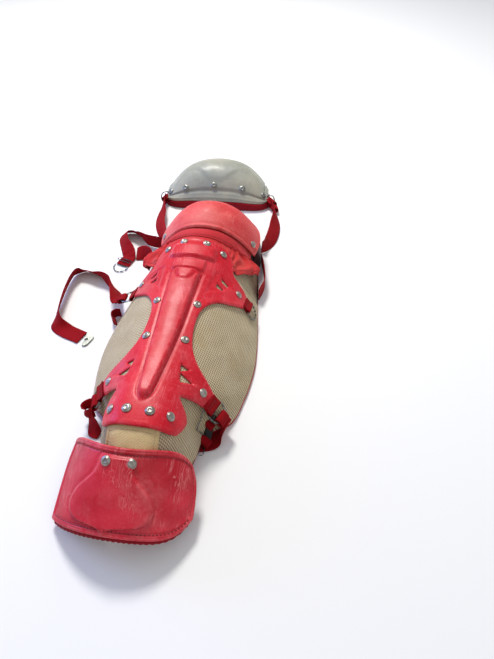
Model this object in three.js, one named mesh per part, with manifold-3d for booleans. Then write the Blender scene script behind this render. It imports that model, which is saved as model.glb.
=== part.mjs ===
// Catcher's leg guard, the left one of a pair, lying on its back with its front up.
// +Y runs from toe to thigh, +X to the viewer's right, the floor is z = 0, all in millimetres.
import * as THREE from 'three';
import { mergeVertices } from 'three/addons/utils/BufferGeometryUtils.js';
import Module from 'manifold-3d';

const wasm = await Module();
wasm.setup();

// Clearances
const GAP = 0.3; // between pieces that touch
const SEAT = 1.2; // between a hard shell and the padding under it

// Shin plate
const PLATE_LENGTH = 335;
const PLATE_HALF = 83; // half the span across the upper wing tips
const PLATE_WALL = 3;
const PLATE_ANCHOR = 0.418; // share of the plate's length that lies at y = 0
const RIDGE_RISE = 6;
const RIDGE_HALF = 20;
const BROW_RISE = 5;
const BOSS_RISE = 5;
const WING_RECESS = 1.4;

// Shin pad, a padded channel that the plate is riveted to
const PAD_HALF = 113;
const PAD_HEIGHT = 97;
const PAD_WALL = 15;
const PAD_PAST_TOP = 40; // how far the pad runs past the plate towards the knee
const PAD_PAST_FOOT = 25; // and towards the toe
const ANKLE_LIFT = 7; // the ankle lobes stand this far off the floor
const CREASE_DEPTH = 7; // seam between calf and ankle lobe
const BINDING_HEIGHT = 5;
const BINDING_INSET = 1.5; // how far the padding bulges out past the binding

// Cloth and webbing
const CLOTH_WALL = 1.6;
const WEB_WIDTH = 25;
const WEB_WALL = 1.6;
const BAND_WIDTH = 17;

// Knee
const KNEE_REACH = 28; // from the plate's top edge to the knee cap's near edge
const KNEE_LENGTH = 122;
const KNEE_HALF = 85;
const KNEE_PROUD = 13; // how far the cap's crown stands over the pad's
const KNEE_HEIGHT = PAD_HEIGHT + KNEE_PROUD;
const KNEE_EDGE = 0.433 * PAD_HEIGHT; // height of the cap's side edges above the floor
const KNEE_SHIFT = 5; // the cap sits this far to the right of the shin
const KNEE_BOW = 10; // how far the ends of the near edge run back
const KNEE_WALL = 3;
const KNEE_PAD_WALL = 14;
const KNEE_PAD_FLARE = 5;
const FLEX_HEM = 32; // the flex starts this far below the plate's top edge
const FLEX_FLARE = 7; // how far its flaps stand off the pad
const FLEX_RUFFLE = 2.4;
const FLEX_TUCK = 10; // how far it runs in under the knee cap

// Thigh
const THIGH_REACH = 72; // from the knee cap's far edge to the thigh cap
const THIGH_LENGTH = 138;
const THIGH_HALF = 101;
const THIGH_HEIGHT = 61;
const THIGH_RIM = 13; // height of the cap's rim above the floor
const THIGH_ARCH = 6; // how much higher the rim is at mid width
const THIGH_SHIFT = -17;
const THIGH_TURN = 4; // degrees
const THIGH_WALL = 3;
const THIGH_PAD_WALL = 12;
const THIGH_PAD_PROUD = 3;
const THIGH_STEP = 2;

// Toe
const TAB_SHOWN = 27; // canvas between the plate's foot edge and the toe cap
const TAB_HALF = 29.5;
const TAB_SHIFT = -2.5;
const TOE_LENGTH = 90; // along its slope
const TOE_SLOPE = 29; // degrees below level
const TOE_HALF = 80;
const TOE_DEPTH = 52;
const TOE_UNDER = 7; // how far the crown of its top edge lies below the pad's
const TOE_TOP = PAD_HEIGHT - TOE_UNDER;
const TOE_SHIFT = -6;
const TOE_WALL = 3;
const TOE_PAD_WALL = 9;
const TOE_BOSS_RISE = 3;

// Fittings
const RIVET_RADIUS = 5.5;
const RIVET_HEIGHT = 2.6;
const RIVET_SIDES = 8;
const RING_WIRE = 1.6; // radius of the D-ring's wire
const RING_REACH = 20; // from its bar to the far end of its bow
const RING_HALF = 14;
const KEEPER_LENGTH = 13;
const HOOK_WIRE = 1.2;

const COLOURS = {
  plate: [0xc41f3e, 0.45, 0],
  knee: [0xc9525c, 0.6, 0],
  thigh: [0x8d9390, 0.35, 0.1],
  mesh: [0xa89878, 0.95, 0],
  canvas: [0xad986f, 0.95, 0],
  cloth: [0xb8313a, 0.9, 0],
  lining: [0x3a1219, 0.95, 0],
  webbing: [0xa3182b, 0.85, 0],
  steel: [0xa8a8a4, 0.25, 1],
  dark: [0x26262a, 0.6, 0],
};

// Small helpers
const V = (x, y, z) => new THREE.Vector3(x, y, z);
const mix = (a, b, t) => a + (b - a) * t;
const clamp01 = (t) => Math.min(Math.max(t, 0), 1);
const mirrored = (list) => [...list.slice(1).reverse().map((v) => -v), ...list];

function ease(from, to, value) {
  const t = clamp01((value - from) / (to - from));
  return t * t * (3 - 2 * t);
}

function bump(value, centre, spread) {
  return Math.exp(-(((value - centre) / spread) ** 2));
}

// Smooth reading of one column of a table whose rows are ordered by their column named at
function read(rows, at, column) {
  const last = rows.length - 1;
  let i = 0;
  while (i < last - 1 && rows[i + 1].at < at) i += 1;
  const t = clamp01((at - rows[i].at) / (rows[i + 1].at - rows[i].at));
  const [a, b] = [rows[i][column], rows[i + 1][column]];
  const before = rows[Math.max(i - 1, 0)];
  const after = rows[Math.min(i + 2, last)];
  const step = rows[i + 1].at - rows[i].at;
  const slopeA = ((b - before[column]) / (rows[i + 1].at - before.at)) * step;
  const slopeB = ((after[column] - a) / (after.at - rows[i].at)) * step;
  const t2 = t * t;
  const t3 = t2 * t;
  return (2 * t3 - 3 * t2 + 1) * a + (t3 - 2 * t2 + t) * slopeA
    + (3 * t2 - 2 * t3) * b + (t3 - t2) * slopeB;
}

// A body from loose triangles given as corner points, turned so that its faces point out
function body(triangles) {
  let volume = 0;
  for (const [a, b, c] of triangles) volume += a.dot(b.clone().cross(c));
  const positions = [];
  for (const [a, b, c] of triangles) {
    const ordered = volume > 0 ? [a, b, c] : [a, c, b];
    for (const p of ordered) positions.push(p.x, p.y, p.z);
  }
  const geometry = new THREE.BufferGeometry();
  geometry.setAttribute('position', new THREE.Float32BufferAttribute(positions, 3));
  return weld(geometry);
}

function weld(geometry) {
  const plain = geometry.clone();
  plain.deleteAttribute('normal');
  plain.deleteAttribute('uv');
  return mergeVertices(plain, 1e-4);
}

function quad(list, a, b, c, d) {
  list.push([a, b, c], [a, c, d]);
}

// A closed slab between two grids of points that have the same rows and columns
function slab(outer, inner) {
  const triangles = [];
  const rows = outer.length - 1;
  const columns = outer[0].length - 1;
  for (let i = 0; i < rows; i += 1) {
    for (let j = 0; j < columns; j += 1) {
      quad(triangles, outer[i][j], outer[i][j + 1], outer[i + 1][j + 1], outer[i + 1][j]);
      quad(triangles, inner[i][j], inner[i + 1][j], inner[i + 1][j + 1], inner[i][j + 1]);
    }
  }
  for (let j = 0; j < columns; j += 1) {
    quad(triangles, outer[0][j], inner[0][j], inner[0][j + 1], outer[0][j + 1]);
    quad(triangles, outer[rows][j], outer[rows][j + 1], inner[rows][j + 1], inner[rows][j]);
  }
  for (let i = 0; i < rows; i += 1) {
    quad(triangles, outer[i][0], outer[i + 1][0], inner[i + 1][0], inner[i][0]);
    quad(triangles, outer[i][columns], inner[i][columns], inner[i + 1][columns], outer[i + 1][columns]);
  }
  return body(triangles);
}

// Point on a surface given as a function of u and v, moved along its upward normal
function offset(surface, u, v, distance) {
  const d = 0.004;
  const across = surface(u + d, v).sub(surface(u - d, v));
  const along = surface(u, v + d).sub(surface(u, v - d));
  const normal = across.cross(along).normalize();
  if (normal.z < 0) normal.negate();
  return surface(u, v).addScaledVector(normal, distance);
}

function grid(rows, columns, make) {
  return rows.map((v) => columns.map((u) => make(u, v)));
}

// A shell of even thickness on a surface, from one offset to another
function shell(surface, rows, columns, outerOffset, innerOffset) {
  const outer = typeof outerOffset === 'function' ? outerOffset : () => outerOffset;
  return slab(
    grid(rows, columns, (u, v) => offset(surface, u, v, outer(u, v))),
    grid(rows, columns, (u, v) => offset(surface, u, v, innerOffset)),
  );
}

// Rings of points joined into one tube, closed into a loop or capped at both ends
function tube(rings, closed) {
  const triangles = [];
  const sides = rings[0].length;
  const spans = closed ? rings.length : rings.length - 1;
  for (let i = 0; i < spans; i += 1) {
    const next = rings[(i + 1) % rings.length];
    for (let j = 0; j < sides; j += 1) {
      const k = (j + 1) % sides;
      quad(triangles, rings[i][j], rings[i][k], next[k], next[j]);
    }
  }
  if (!closed) {
    const end = rings[rings.length - 1];
    for (let j = 1; j < sides - 1; j += 1) {
      triangles.push([rings[0][0], rings[0][j + 1], rings[0][j]]);
      triangles.push([end[0], end[j], end[j + 1]]);
    }
  }
  return body(triangles);
}

// A round wire along points, its section turned about the plane's normal
function wire(points, radius, sides, closed, planeNormal) {
  const rings = points.map((point, i) => {
    const count = points.length;
    const next = closed ? points[(i + 1) % count] : points[Math.min(i + 1, count - 1)];
    const previous = closed ? points[(i + count - 1) % count] : points[Math.max(i - 1, 0)];
    const tangent = next.clone().sub(previous).normalize();
    const side = planeNormal.clone().cross(tangent).normalize();
    const up = tangent.clone().cross(side).normalize();
    return Array.from({ length: sides }, (_, k) => {
      const angle = ((k + 0.5) / sides) * 2 * Math.PI;
      return point.clone().addScaledVector(side, radius * Math.cos(angle))
        .addScaledVector(up, radius * Math.sin(angle));
    });
  });
  return tube(rings, closed);
}

// More rows between the given rows of a strap's route, on a smooth path
function smoothRows(rows, steps) {
  const points = rows.map((row) => row.point);
  const path = new THREE.CatmullRomCurve3(points, false, 'centripetal');
  const spans = rows.length - 1;
  return Array.from({ length: spans * steps + 1 }, (_, i) => {
    const k = Math.min(Math.floor(i / steps), spans - 1);
    const f = i / steps - k;
    return {
      point: path.getPoint(i / (spans * steps)),
      across: rows[k].across.clone().lerp(rows[k + 1].across, f),
      width: mix(rows[k].width, rows[k + 1].width, f),
    };
  });
}

// A flat strap through rows that each give a point, the direction of its width, and the width.
// It is lifted where it would reach below the floor.
function ribbon(rows, wall) {
  return tube(rows.map(({ point, across, width }, i) => {
    const next = rows[Math.min(i + 1, rows.length - 1)].point;
    const previous = rows[Math.max(i - 1, 0)].point;
    const tangent = next.clone().sub(previous).normalize();
    const flat = across.clone().addScaledVector(tangent, -across.dot(tangent)).normalize();
    const up = tangent.clone().cross(flat).normalize();
    const low = point.z - (Math.abs(flat.z) * width + Math.abs(up.z) * wall) / 2;
    const middle = point.clone().setZ(point.z + Math.max(-low, 0));
    return [[-1, -1], [1, -1], [1, 1], [-1, 1]].map(([s, h]) => middle.clone()
      .addScaledVector(flat, (s * width) / 2).addScaledVector(up, (h * wall) / 2));
  }), false);
}

function solid(geometry) {
  const plain = weld(geometry);
  return new wasm.Manifold(new wasm.Mesh({
    numProp: 3,
    vertProperties: new Float32Array(plain.attributes.position.array),
    triVerts: new Uint32Array(plain.index.array),
  }));
}

function fromSolid(result) {
  const mesh = result.getMesh();
  const geometry = new THREE.BufferGeometry();
  geometry.setAttribute('position', new THREE.Float32BufferAttribute(mesh.vertProperties, 3));
  geometry.setIndex([...mesh.triVerts]);
  return geometry;
}

const guard = new THREE.Group();

function add(name, geometry, [colour, roughness, metalness], placement) {
  const material = new THREE.MeshStandardMaterial({ color: colour, roughness, metalness });
  const mesh = new THREE.Mesh(geometry, material);
  mesh.name = name;
  if (placement) placement.decompose(mesh.position, mesh.quaternion, mesh.scale);
  mesh.updateMatrixWorld(true);
  guard.add(mesh);
  return mesh;
}

// The shin's surface: a row for each section of the pad, from its toe end to its knee end.
// at is a share of the pad's length, half of PAD_HALF, crown of PAD_HEIGHT, lift of ANKLE_LIFT.
const PAD_ROWS = [
  { at: 0.0, half: 0.40, crown: 0.85, power: 3.2, lift: 1 },
  { at: 0.038, half: 0.47, crown: 0.93, power: 3.3, lift: 1 },
  { at: 0.075, half: 0.52, crown: 0.975, power: 3.4, lift: 1 },
  { at: 0.112, half: 0.545, crown: 0.99, power: 3.4, lift: 1 },
  { at: 0.15, half: 0.555, crown: 0.99, power: 3.3, lift: 1 },
  { at: 0.182, half: 0.59, crown: 0.985, power: 3.1, lift: 0.9 },
  { at: 0.21, half: 0.7, crown: 0.978, power: 2.6, lift: 0.4 },
  { at: 0.25, half: 0.85, crown: 0.965, power: 2.15, lift: 0 },
  { at: 0.35, half: 0.945, crown: 0.945, power: 1.95, lift: 0 },
  { at: 0.412, half: 0.98, crown: 0.935, power: 1.93, lift: 0 },
  { at: 0.488, half: 1.0, crown: 0.94, power: 1.95, lift: 0 },
  { at: 0.562, half: 0.99, crown: 0.96, power: 2.0, lift: 0 },
  { at: 0.638, half: 0.965, crown: 0.97, power: 2.0, lift: 0 },
  { at: 0.738, half: 0.92, crown: 0.975, power: 1.98, lift: 0 },
  { at: 0.862, half: 0.865, crown: 0.985, power: 2.15, lift: 0 },
  { at: 0.955, half: 0.83, crown: 0.99, power: 2.2, lift: 0 },
  { at: 1.0, half: 0.80, crown: 0.985, power: 2.2, lift: 0 },
];

const plateY = (share) => (share - PLATE_ANCHOR) * PLATE_LENGTH;
const PLATE_FOOT = plateY(0);
const PLATE_TOP = plateY(1);
const PAD_FOOT = PLATE_FOOT - PAD_PAST_FOOT;
const PAD_TOP = PLATE_TOP + PAD_PAST_TOP;
const padY = (share) => mix(PAD_FOOT, PAD_TOP, share);
const padShare = (y) => (y - PAD_FOOT) / (PAD_TOP - PAD_FOOT);
const HEM_Y = PLATE_TOP - FLEX_HEM;
const TAB_Y = PLATE_FOOT + 6; // the tab runs in this far under the plate

function padSection(y) {
  const at = padShare(y);
  return {
    half: read(PAD_ROWS, at, 'half') * PAD_HALF,
    crown: read(PAD_ROWS, at, 'crown') * PAD_HEIGHT,
    power: read(PAD_ROWS, at, 'power'),
    edge: BINDING_HEIGHT + read(PAD_ROWS, at, 'lift') * ANKLE_LIFT,
  };
}

function shinHeight(x, y) {
  const { half, crown, power, edge } = padSection(y);
  const t = Math.min(Math.abs(x) / half, 1);
  return edge + (crown - edge) * (1 - t ** power);
}

const shin = (x, y) => V(x, y, shinHeight(x, y));

// Point and axes at a place on the shin: normal, and the tangent nearest to a heading
function shinFrame(x, y, headingX, headingY, lift) {
  const d = 0.5;
  const along = shin(x, y + d).sub(shin(x, y - d));
  const across = shin(x + d, y).sub(shin(x - d, y));
  const normal = across.clone().cross(along).normalize();
  const tangent = across.multiplyScalar(headingX).addScaledVector(along, headingY).normalize();
  const side = normal.clone().cross(tangent).normalize();
  const origin = shin(x, y).addScaledVector(normal, lift);
  return new THREE.Matrix4().makeBasis(tangent, side, normal).setPosition(origin);
}

// How far the pad gives way to the cloth that is held between it and the plate
function tuck(y) {
  const room = CLOTH_WALL + SEAT + 2.5 * GAP;
  const top = ease(HEM_Y - 8, HEM_Y - 2, y);
  const foot = 1 - ease(TAB_Y + 2, TAB_Y + 8, y);
  return room * Math.max(top, foot);
}

function padPoint(u, y, depth) {
  const { half, edge } = padSection(y);
  const at = (v) => V(half * v, y, shinHeight(half * v, y));
  const d = 0.01;
  const run = at(Math.min(u + d, 1)).sub(at(Math.max(u - d, -1)));
  const normal = V(-run.z, 0, run.x).normalize();
  const lobe = ease(0.45, 0.7, Math.abs(u)) * (1 - ease(0.93, 1, Math.abs(u)));
  const give = tuck(y) + CREASE_DEPTH * lobe * bump(y, padY(0.215), 12);
  const point = at(u).addScaledVector(normal, -depth);
  point.z = Math.abs(u) === 1 ? edge : Math.max(point.z - give, edge);
  return point;
}

const EDGE_LINES = [
  ...PAD_ROWS.map((row) => padY(row.at)), padY(0.196), padY(0.23),
].sort((a, b) => a - b);
const PAD_LINES = [
  ...EDGE_LINES, HEM_Y - 8, HEM_Y - 2, TAB_Y + 8, TAB_Y + 2,
].sort((a, b) => a - b);

function shinPad() {
  const columns = mirrored([0, 0.14, 0.28, 0.42, 0.55, 0.68, 0.8, 0.91, 1]);
  add('shin_pad', slab(
    grid(PAD_LINES, columns, (u, y) => padPoint(u, y, 0)),
    grid(PAD_LINES, columns, (u, y) => padPoint(u, y, PAD_WALL)),
  ), COLOURS.mesh);
}

function bindings() {
  for (const side of [-1, 1]) {
    const rings = EDGE_LINES.map((y) => {
      const outer = padPoint(side, y, 0);
      const inner = padPoint(side, y, PAD_WALL);
      const top = outer.z - GAP;
      const low = outer.z - BINDING_HEIGHT;
      const xOut = outer.x - side * BINDING_INSET;
      const xIn = inner.x + side * BINDING_INSET;
      return [V(xOut, y, low), V(xOut, y, top), V(xIn, y, top), V(xIn, y, low)];
    });
    add(`pad_binding_${side < 0 ? 'left' : 'right'}`, tube(rings, false), COLOURS.webbing);
  }
}

// Right half of the plate's outline, from the middle of its top edge to the middle of its foot.
// along is a share of the plate's length from its foot, out a share of PLATE_HALF.
const PLATE_RUNS = [
  { smooth: true, points: [[1.0, 0], [0.999, 0.31], [0.985, 0.54], [0.955, 0.66], [0.91, 0.7]] },
  { smooth: true, points: [[0.91, 0.7], [0.875, 0.74], [0.862, 0.82], [0.838, 0.965]] },
  { smooth: false, points: [[0.82, 1.0], [0.745, 0.995], [0.733, 0.955]] },
  { smooth: true, points: [[0.733, 0.955], [0.696, 0.8], [0.657, 0.6], [0.606, 0.455], [0.55, 0.385],
    [0.478, 0.373], [0.418, 0.4], [0.364, 0.458], [0.313, 0.578], [0.278, 0.72], [0.25, 0.83]] },
  { smooth: false, points: [[0.24, 0.855], [0.19, 0.77], [0.176, 0.63], [0.16, 0.47], [0.152, 0.445]] },
  { smooth: true, points: [[0.152, 0.445], [0.137, 0.48], [0.116, 0.54], [0.09, 0.572],
    [0.054, 0.55], [0.022, 0.5]] },
  { smooth: true, points: [[0.022, 0.5], [0.008, 0.4], [0.001, 0.18], [0.0, 0]] },
];

// Vents in the right wings, as corners in the same shares
const PLATE_VENTS = [
  [[0.812, 0.575], [0.795, 0.7], [0.782, 0.69], [0.79, 0.59]],
  [[0.765, 0.53], [0.752, 0.64], [0.739, 0.625], [0.743, 0.53]],
  [[0.29, 0.35], [0.281, 0.47], [0.262, 0.365]],
  [[0.252, 0.375], [0.23, 0.56], [0.212, 0.4]],
];

// Half width of the raised ridge, as a share of RIDGE_HALF
const RIDGE_ROWS = [
  { at: 0.09, half: 0.0 },
  { at: 0.11, half: 0.36 },
  { at: 0.14, half: 0.45 },
  { at: 0.2, half: 0.5 },
  { at: 0.48, half: 0.8 },
  { at: 0.76, half: 1.0 },
  { at: 0.8, half: 1.05 },
];

// Height of the plate's relief over its plain surface, x and y in millimetres
function relief(x, y) {
  const at = (y - PLATE_FOOT) / PLATE_LENGTH;
  const out = Math.abs(x);
  const half = Math.max(read(RIDGE_ROWS, Math.min(at, 0.8), 'half') * RIDGE_HALF, 0.5);
  const run = ease(0.09, 0.13, at) * (1 - ease(0.76, 0.79, at));
  const ridge = RIDGE_RISE * run * (1 - ease(half * 0.55, half * 1.05, out));
  const groove = -0.25 * RIDGE_RISE * run * bump(out, half * 1.2, 3);
  const browHalf = 1.75 * RIDGE_HALF;
  const brow = BROW_RISE * ease(0.862, 0.875, at) * (1 - ease(0.93, 0.98, at))
    * (1 - ease(browHalf * 0.75, browHalf * 1.05, out));
  const crescentTop = 0.848 + 0.012 * (out / RIDGE_HALF) ** 2;
  const crescent = 0.8 * BOSS_RISE * (1 - ease(RIDGE_HALF, RIDGE_HALF * 1.2, out))
    * ease(0.775, 0.8, at) * (1 - ease(crescentTop - 0.012, crescentTop, at));
  const bossHalf = 0.65 * RIDGE_HALF * Math.sqrt(clamp01((at - 0.7) / 0.07));
  const boss = BOSS_RISE * ease(0.7, 0.72, at) * (1 - ease(0.77, 0.79, at))
    * (1 - ease(bossHalf * 0.6, bossHalf + 1, out));
  const wingUp = bump(at, 0.775, 0.05) * bump(out, 0.6 * PLATE_HALF, 0.16 * PLATE_HALF);
  const wingLow = bump(at, 0.25, 0.06) * bump(out, 0.45 * PLATE_HALF, 0.12 * PLATE_HALF);
  return Math.max(ridge, brow, crescent) + boss * (1 - run) + groove
    - WING_RECESS * Math.max(wingUp, wingLow);
}

function plateOutline() {
  const half = [];
  for (const { smooth, points } of PLATE_RUNS) {
    const flat = points.map(([along, out]) => new THREE.Vector2(out * PLATE_HALF, plateY(along)));
    const drawn = smooth ? new THREE.SplineCurve(flat).getPoints(2 * (flat.length - 1)) : flat;
    for (const p of drawn) {
      const last = half[half.length - 1];
      if (!last || last.distanceTo(p) > 0.5) half.push(p);
    }
  }
  const other = half.slice(1, -1).reverse().map((p) => new THREE.Vector2(-p.x, p.y));
  return new THREE.Shape([...half, ...other]);
}

function prism(shape) {
  const geometry = new THREE.ExtrudeGeometry(shape, { depth: 3 * PAD_HEIGHT, bevelEnabled: false });
  return solid(geometry.translate(0, 0, -PAD_HEIGHT));
}

function platePoint(x, y, lift) {
  return V(0, 0, 0).setFromMatrixPosition(shinFrame(x, y, 1, 0, lift));
}

// Cloth lies on the pad where the pad gives way to it
function clothPoint(x, y, lift) {
  const point = platePoint(x, y, SEAT + lift);
  point.z -= tuck(y);
  return point;
}

function shinPlate() {
  const span = PLATE_HALF * 1.06;
  const columns = mirrored([0, 0.07, 0.14, 0.2, 0.27, 0.37, 0.5, 0.67, 0.84, 1])
    .map((share) => share * span);
  const rows = [-0.01, 0.012, 0.034].map(plateY);
  const rowCount = 19;
  for (let i = 0; i <= rowCount; i += 1) rows.push(plateY(mix(0.056, 1.01, i / rowCount)));
  const blank = slab(
    grid(rows, columns, (x, y) => platePoint(x, y, SEAT + PLATE_WALL + relief(x, y))),
    grid(rows, columns, (x, y) => platePoint(x, y, SEAT)),
  );
  let plate = solid(blank).intersect(prism(plateOutline()));
  for (const side of [-1, 1]) {
    for (const vent of PLATE_VENTS) {
      const corners = vent.map(([along, out]) => new THREE.Vector2(side * out * PLATE_HALF, plateY(along)));
      plate = plate.subtract(prism(new THREE.Shape(corners)));
    }
  }
  return add('shin_plate', fromSolid(plate), COLOURS.plate);
}

// A domed cap rivet with a dimple in its middle
function rivetGeometry() {
  const profile = [
    [0, 0], [1, 0], [1, 0.35], [0.7, 1], [0, 0.8],
  ].map(([r, h]) => new THREE.Vector2(r * RIVET_RADIUS, h * RIVET_HEIGHT));
  const lathe = new THREE.LatheGeometry(profile, RIVET_SIDES);
  lathe.rotateX(Math.PI / 2);
  return weld(lathe);
}

// Rivets of the plate's right half: along and out as in the outline
const PLATE_RIVETS = [
  { name: 'top_outer', along: 0.948, out: 0.49 },
  { name: 'top_inner', along: 0.96, out: 0.193 },
  { name: 'wing_upper', along: 0.79, out: 0.865 },
  { name: 'waist_upper', along: 0.597, out: 0.325 },
  { name: 'waist_lower', along: 0.406, out: 0.292 },
  { name: 'wing_lower', along: 0.222, out: 0.7 },
  { name: 'foot_outer', along: 0.063, out: 0.395 },
  { name: 'foot_inner', along: 0.057, out: 0.157 },
];

// A rivet set down on a shell, close over the highest place under its rim
function addRivet(name, shellMesh, frame) {
  const height = 20;
  const down = V(0, 0, -1).transformDirection(frame);
  const spots = [V(0, 0, height)];
  const count = 12;
  for (let k = 0; k < count; k += 1) {
    const angle = (k / count) * 2 * Math.PI;
    spots.push(V(RIVET_RADIUS * Math.cos(angle), RIVET_RADIUS * Math.sin(angle), height));
  }
  const caster = new THREE.Raycaster();
  const depths = spots.map((spot) => {
    caster.set(spot.applyMatrix4(frame), down);
    const [hit] = caster.intersectObject(shellMesh);
    return hit ? hit.distance : Infinity;
  });
  const seat = height - Math.min(...depths) + GAP;
  const placed = frame.clone().multiply(new THREE.Matrix4().makeTranslation(0, 0, seat));
  add(`rivet_${name}`, rivetGeometry(), COLOURS.steel, placed);
}

function plateRivets(plate) {
  for (const { name, along, out } of PLATE_RIVETS) {
    for (const side of [-1, 1]) {
      const frame = shinFrame(side * out * PLATE_HALF, plateY(along), 1, 0, SEAT);
      addRivet(`${name}_${side < 0 ? 'left' : 'right'}`, plate, frame);
    }
  }
}

// Knee cap: a row for each section, at a share of its length from its near edge
const KNEE_ROWS = [
  { at: 0.0, half: 0.95, crown: 0.92 },
  { at: 0.14, half: 0.985, crown: 0.968 },
  { at: 0.3, half: 1.0, crown: 1.0 },
  { at: 0.5, half: 0.965, crown: 0.965 },
  { at: 0.65, half: 0.885, crown: 0.87 },
  { at: 0.8, half: 0.74, crown: 0.72 },
  { at: 0.92, half: 0.56, crown: 0.57 },
  { at: 1.0, half: 0.38, crown: 0.46 },
];
const KNEE_NEAR = PLATE_TOP + KNEE_REACH;
const KNEE_POWER = 2.3;
const KNEE_LINES = mirrored([0, 0.2, 0.4, 0.58, 0.75, 0.9, 1]);

function knee(u, v) {
  const half = read(KNEE_ROWS, v, 'half') * KNEE_HALF;
  const crown = read(KNEE_ROWS, v, 'crown') * KNEE_HEIGHT;
  const bow = KNEE_BOW * (1 - clamp01(v)) * u * u;
  const z = KNEE_EDGE + (crown - KNEE_EDGE) * (1 - Math.abs(u) ** KNEE_POWER);
  return V(KNEE_SHIFT + half * u, KNEE_NEAR + v * KNEE_LENGTH + bow, z);
}

function kneeCap() {
  const rows = [0, 0.08, 0.17, 0.3, 0.46, 0.62, 0.78, 0.9, 1];
  const cap = add('knee_cap', shell(knee, rows, KNEE_LINES, 0, -KNEE_WALL), COLOURS.knee);
  addRivet('knee_left', cap, surfaceFrame(knee, -0.9, 0.13));
  addRivet('knee_right', cap, surfaceFrame(knee, 0.9, 0.13));
}

// Frame on a surface: z along its normal
function surfaceFrame(surface, u, v) {
  const normal = offset(surface, u, v, 1).sub(surface(u, v)).normalize();
  const along = surface(u, v + 0.01).sub(surface(u, v - 0.01)).normalize();
  const across = along.clone().cross(normal).normalize();
  const straight = normal.clone().cross(across);
  return new THREE.Matrix4().makeBasis(across, straight, normal).setPosition(surface(u, v));
}

function kneePad() {
  const rows = [0.17, 0.3, 0.46, 0.62, 0.78, 0.9, 1];
  const outerDepth = KNEE_WALL + GAP;
  const sheet = (depth, flare, sideX) => rows.map((v) => {
    const line = KNEE_LINES.map((u) => offset(knee, u, v, -depth));
    const foot = (side) => {
      const edge = line[side < 0 ? 0 : line.length - 1];
      return V(edge.x + side * flare, edge.y, 0);
    };
    for (const p of line) p.z = Math.max(p.z, sideX);
    return [foot(-1), ...line, foot(1)];
  });
  add('knee_pad', slab(
    sheet(outerDepth, KNEE_PAD_FLARE, 0.5),
    sheet(outerDepth + KNEE_PAD_WALL, KNEE_PAD_FLARE, 0.5),
  ), COLOURS.lining);
}

// The flex: gathered cloth from under the plate's top to under the knee cap.
// v runs from the hem over the band's near edge to the end under the knee cap
const FLEX_BAND = 0.6;

function flexPoint(u, v, lift) {
  const bow = KNEE_BOW * u * u;
  const hem = HEM_Y + (KNEE_NEAR - HEM_Y) * 0.92 * ease(0.55, 1, Math.abs(u));
  const bandY = Math.max(KNEE_NEAR - BAND_WIDTH + bow, hem + 2);
  const y = v < FLEX_BAND
    ? mix(hem, bandY, v / FLEX_BAND)
    : mix(bandY, KNEE_NEAR + FLEX_TUCK + bow, (v - FLEX_BAND) / (1 - FLEX_BAND));
  const onShin = Math.min(y, PAD_TOP);
  const flare = FLEX_FLARE * ease(0.72, 1, Math.abs(u)) * (1 - ease(0.4, 1, v));
  const onPad = clothPoint(0.99 * padSection(onShin).half * u, onShin, 0)
    .addScaledVector(V(u, 0, 0.35), flare);
  const share = Math.max(y - KNEE_NEAR - bow, 0) / KNEE_LENGTH;
  const under = offset(knee, u * 0.97, share, -KNEE_WALL - 2 * SEAT - CLOTH_WALL);
  const rise = ease(PLATE_TOP + 2, KNEE_NEAR - 4, y - bow);
  const ruffle = FLEX_RUFFLE * ease(0.6, 0.72, Math.abs(u)) * (1 - ease(0.5, 0.7, v))
    * (0.5 + 0.5 * Math.cos(Math.abs(u) * 62));
  const point = V(mix(onPad.x, under.x, rise), y, mix(onPad.z, under.z, rise));
  const clearX = Math.min(Math.abs(point.x), 0.97 * padSection(onShin).half);
  const clear = clothPoint(Math.sign(u) * clearX, onShin, 0);
  point.z = Math.max(point.z, clear.z + GAP);
  const outward = V(u * u * Math.sign(u), 0, 1 - 0.5 * u * u).normalize();
  return point.addScaledVector(outward, lift + ruffle);
}

const FLEX_COLUMNS = mirrored([0, 0.16, 0.32, 0.48,
  ...Array.from({ length: 9 }, (_, i) => mix(0.6, 1, i / 8))]);
const FLEX_BAND_ROWS = [0, 0.5, 1].map((t) => mix(
  FLEX_BAND,
  FLEX_BAND + ((1 - FLEX_BAND) * (BAND_WIDTH - 1)) / (BAND_WIDTH + FLEX_TUCK),
  t,
));

function kneeFlex() {
  const rows = [0, 0.25, 0.45, ...FLEX_BAND_ROWS, 1];
  const sheet = (lift) => grid(rows, FLEX_COLUMNS, (u, v) => flexPoint(u, v, lift));
  add('knee_flex', slab(sheet(CLOTH_WALL), sheet(0)), COLOURS.cloth);
}

function kneeBand() {
  const columns = FLEX_COLUMNS.filter((u) => Math.abs(u) < 0.8);
  const sheet = (lift) => grid(FLEX_BAND_ROWS, columns, (u, v) => flexPoint(u, v, lift));
  add('knee_band', slab(sheet(2 * CLOTH_WALL + GAP), sheet(CLOTH_WALL + GAP)), COLOURS.cloth);
}

// Thigh cap: its plan is straight near the knee and arched behind
const THIGH_NEAR = KNEE_NEAR + KNEE_LENGTH + THIGH_REACH;
const THIGH_COLUMNS = mirrored([0, 0.22, 0.44, 0.63, 0.8, 0.92, 1]);
const THIGH_LINES = [0, 0.06, 0.1, 0.2, 0.34, 0.5, 0.68, 0.86, 1];

function thighPlan(u, v) {
  const a = Math.min(Math.abs(u), 1);
  const near = 0.11 * THIGH_LENGTH * a ** 10;
  const far = THIGH_LENGTH * (0.3 + 0.7 * (1 - a ** 2.4) ** 0.62);
  return [THIGH_HALF * u, mix(near, far, v)];
}

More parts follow.
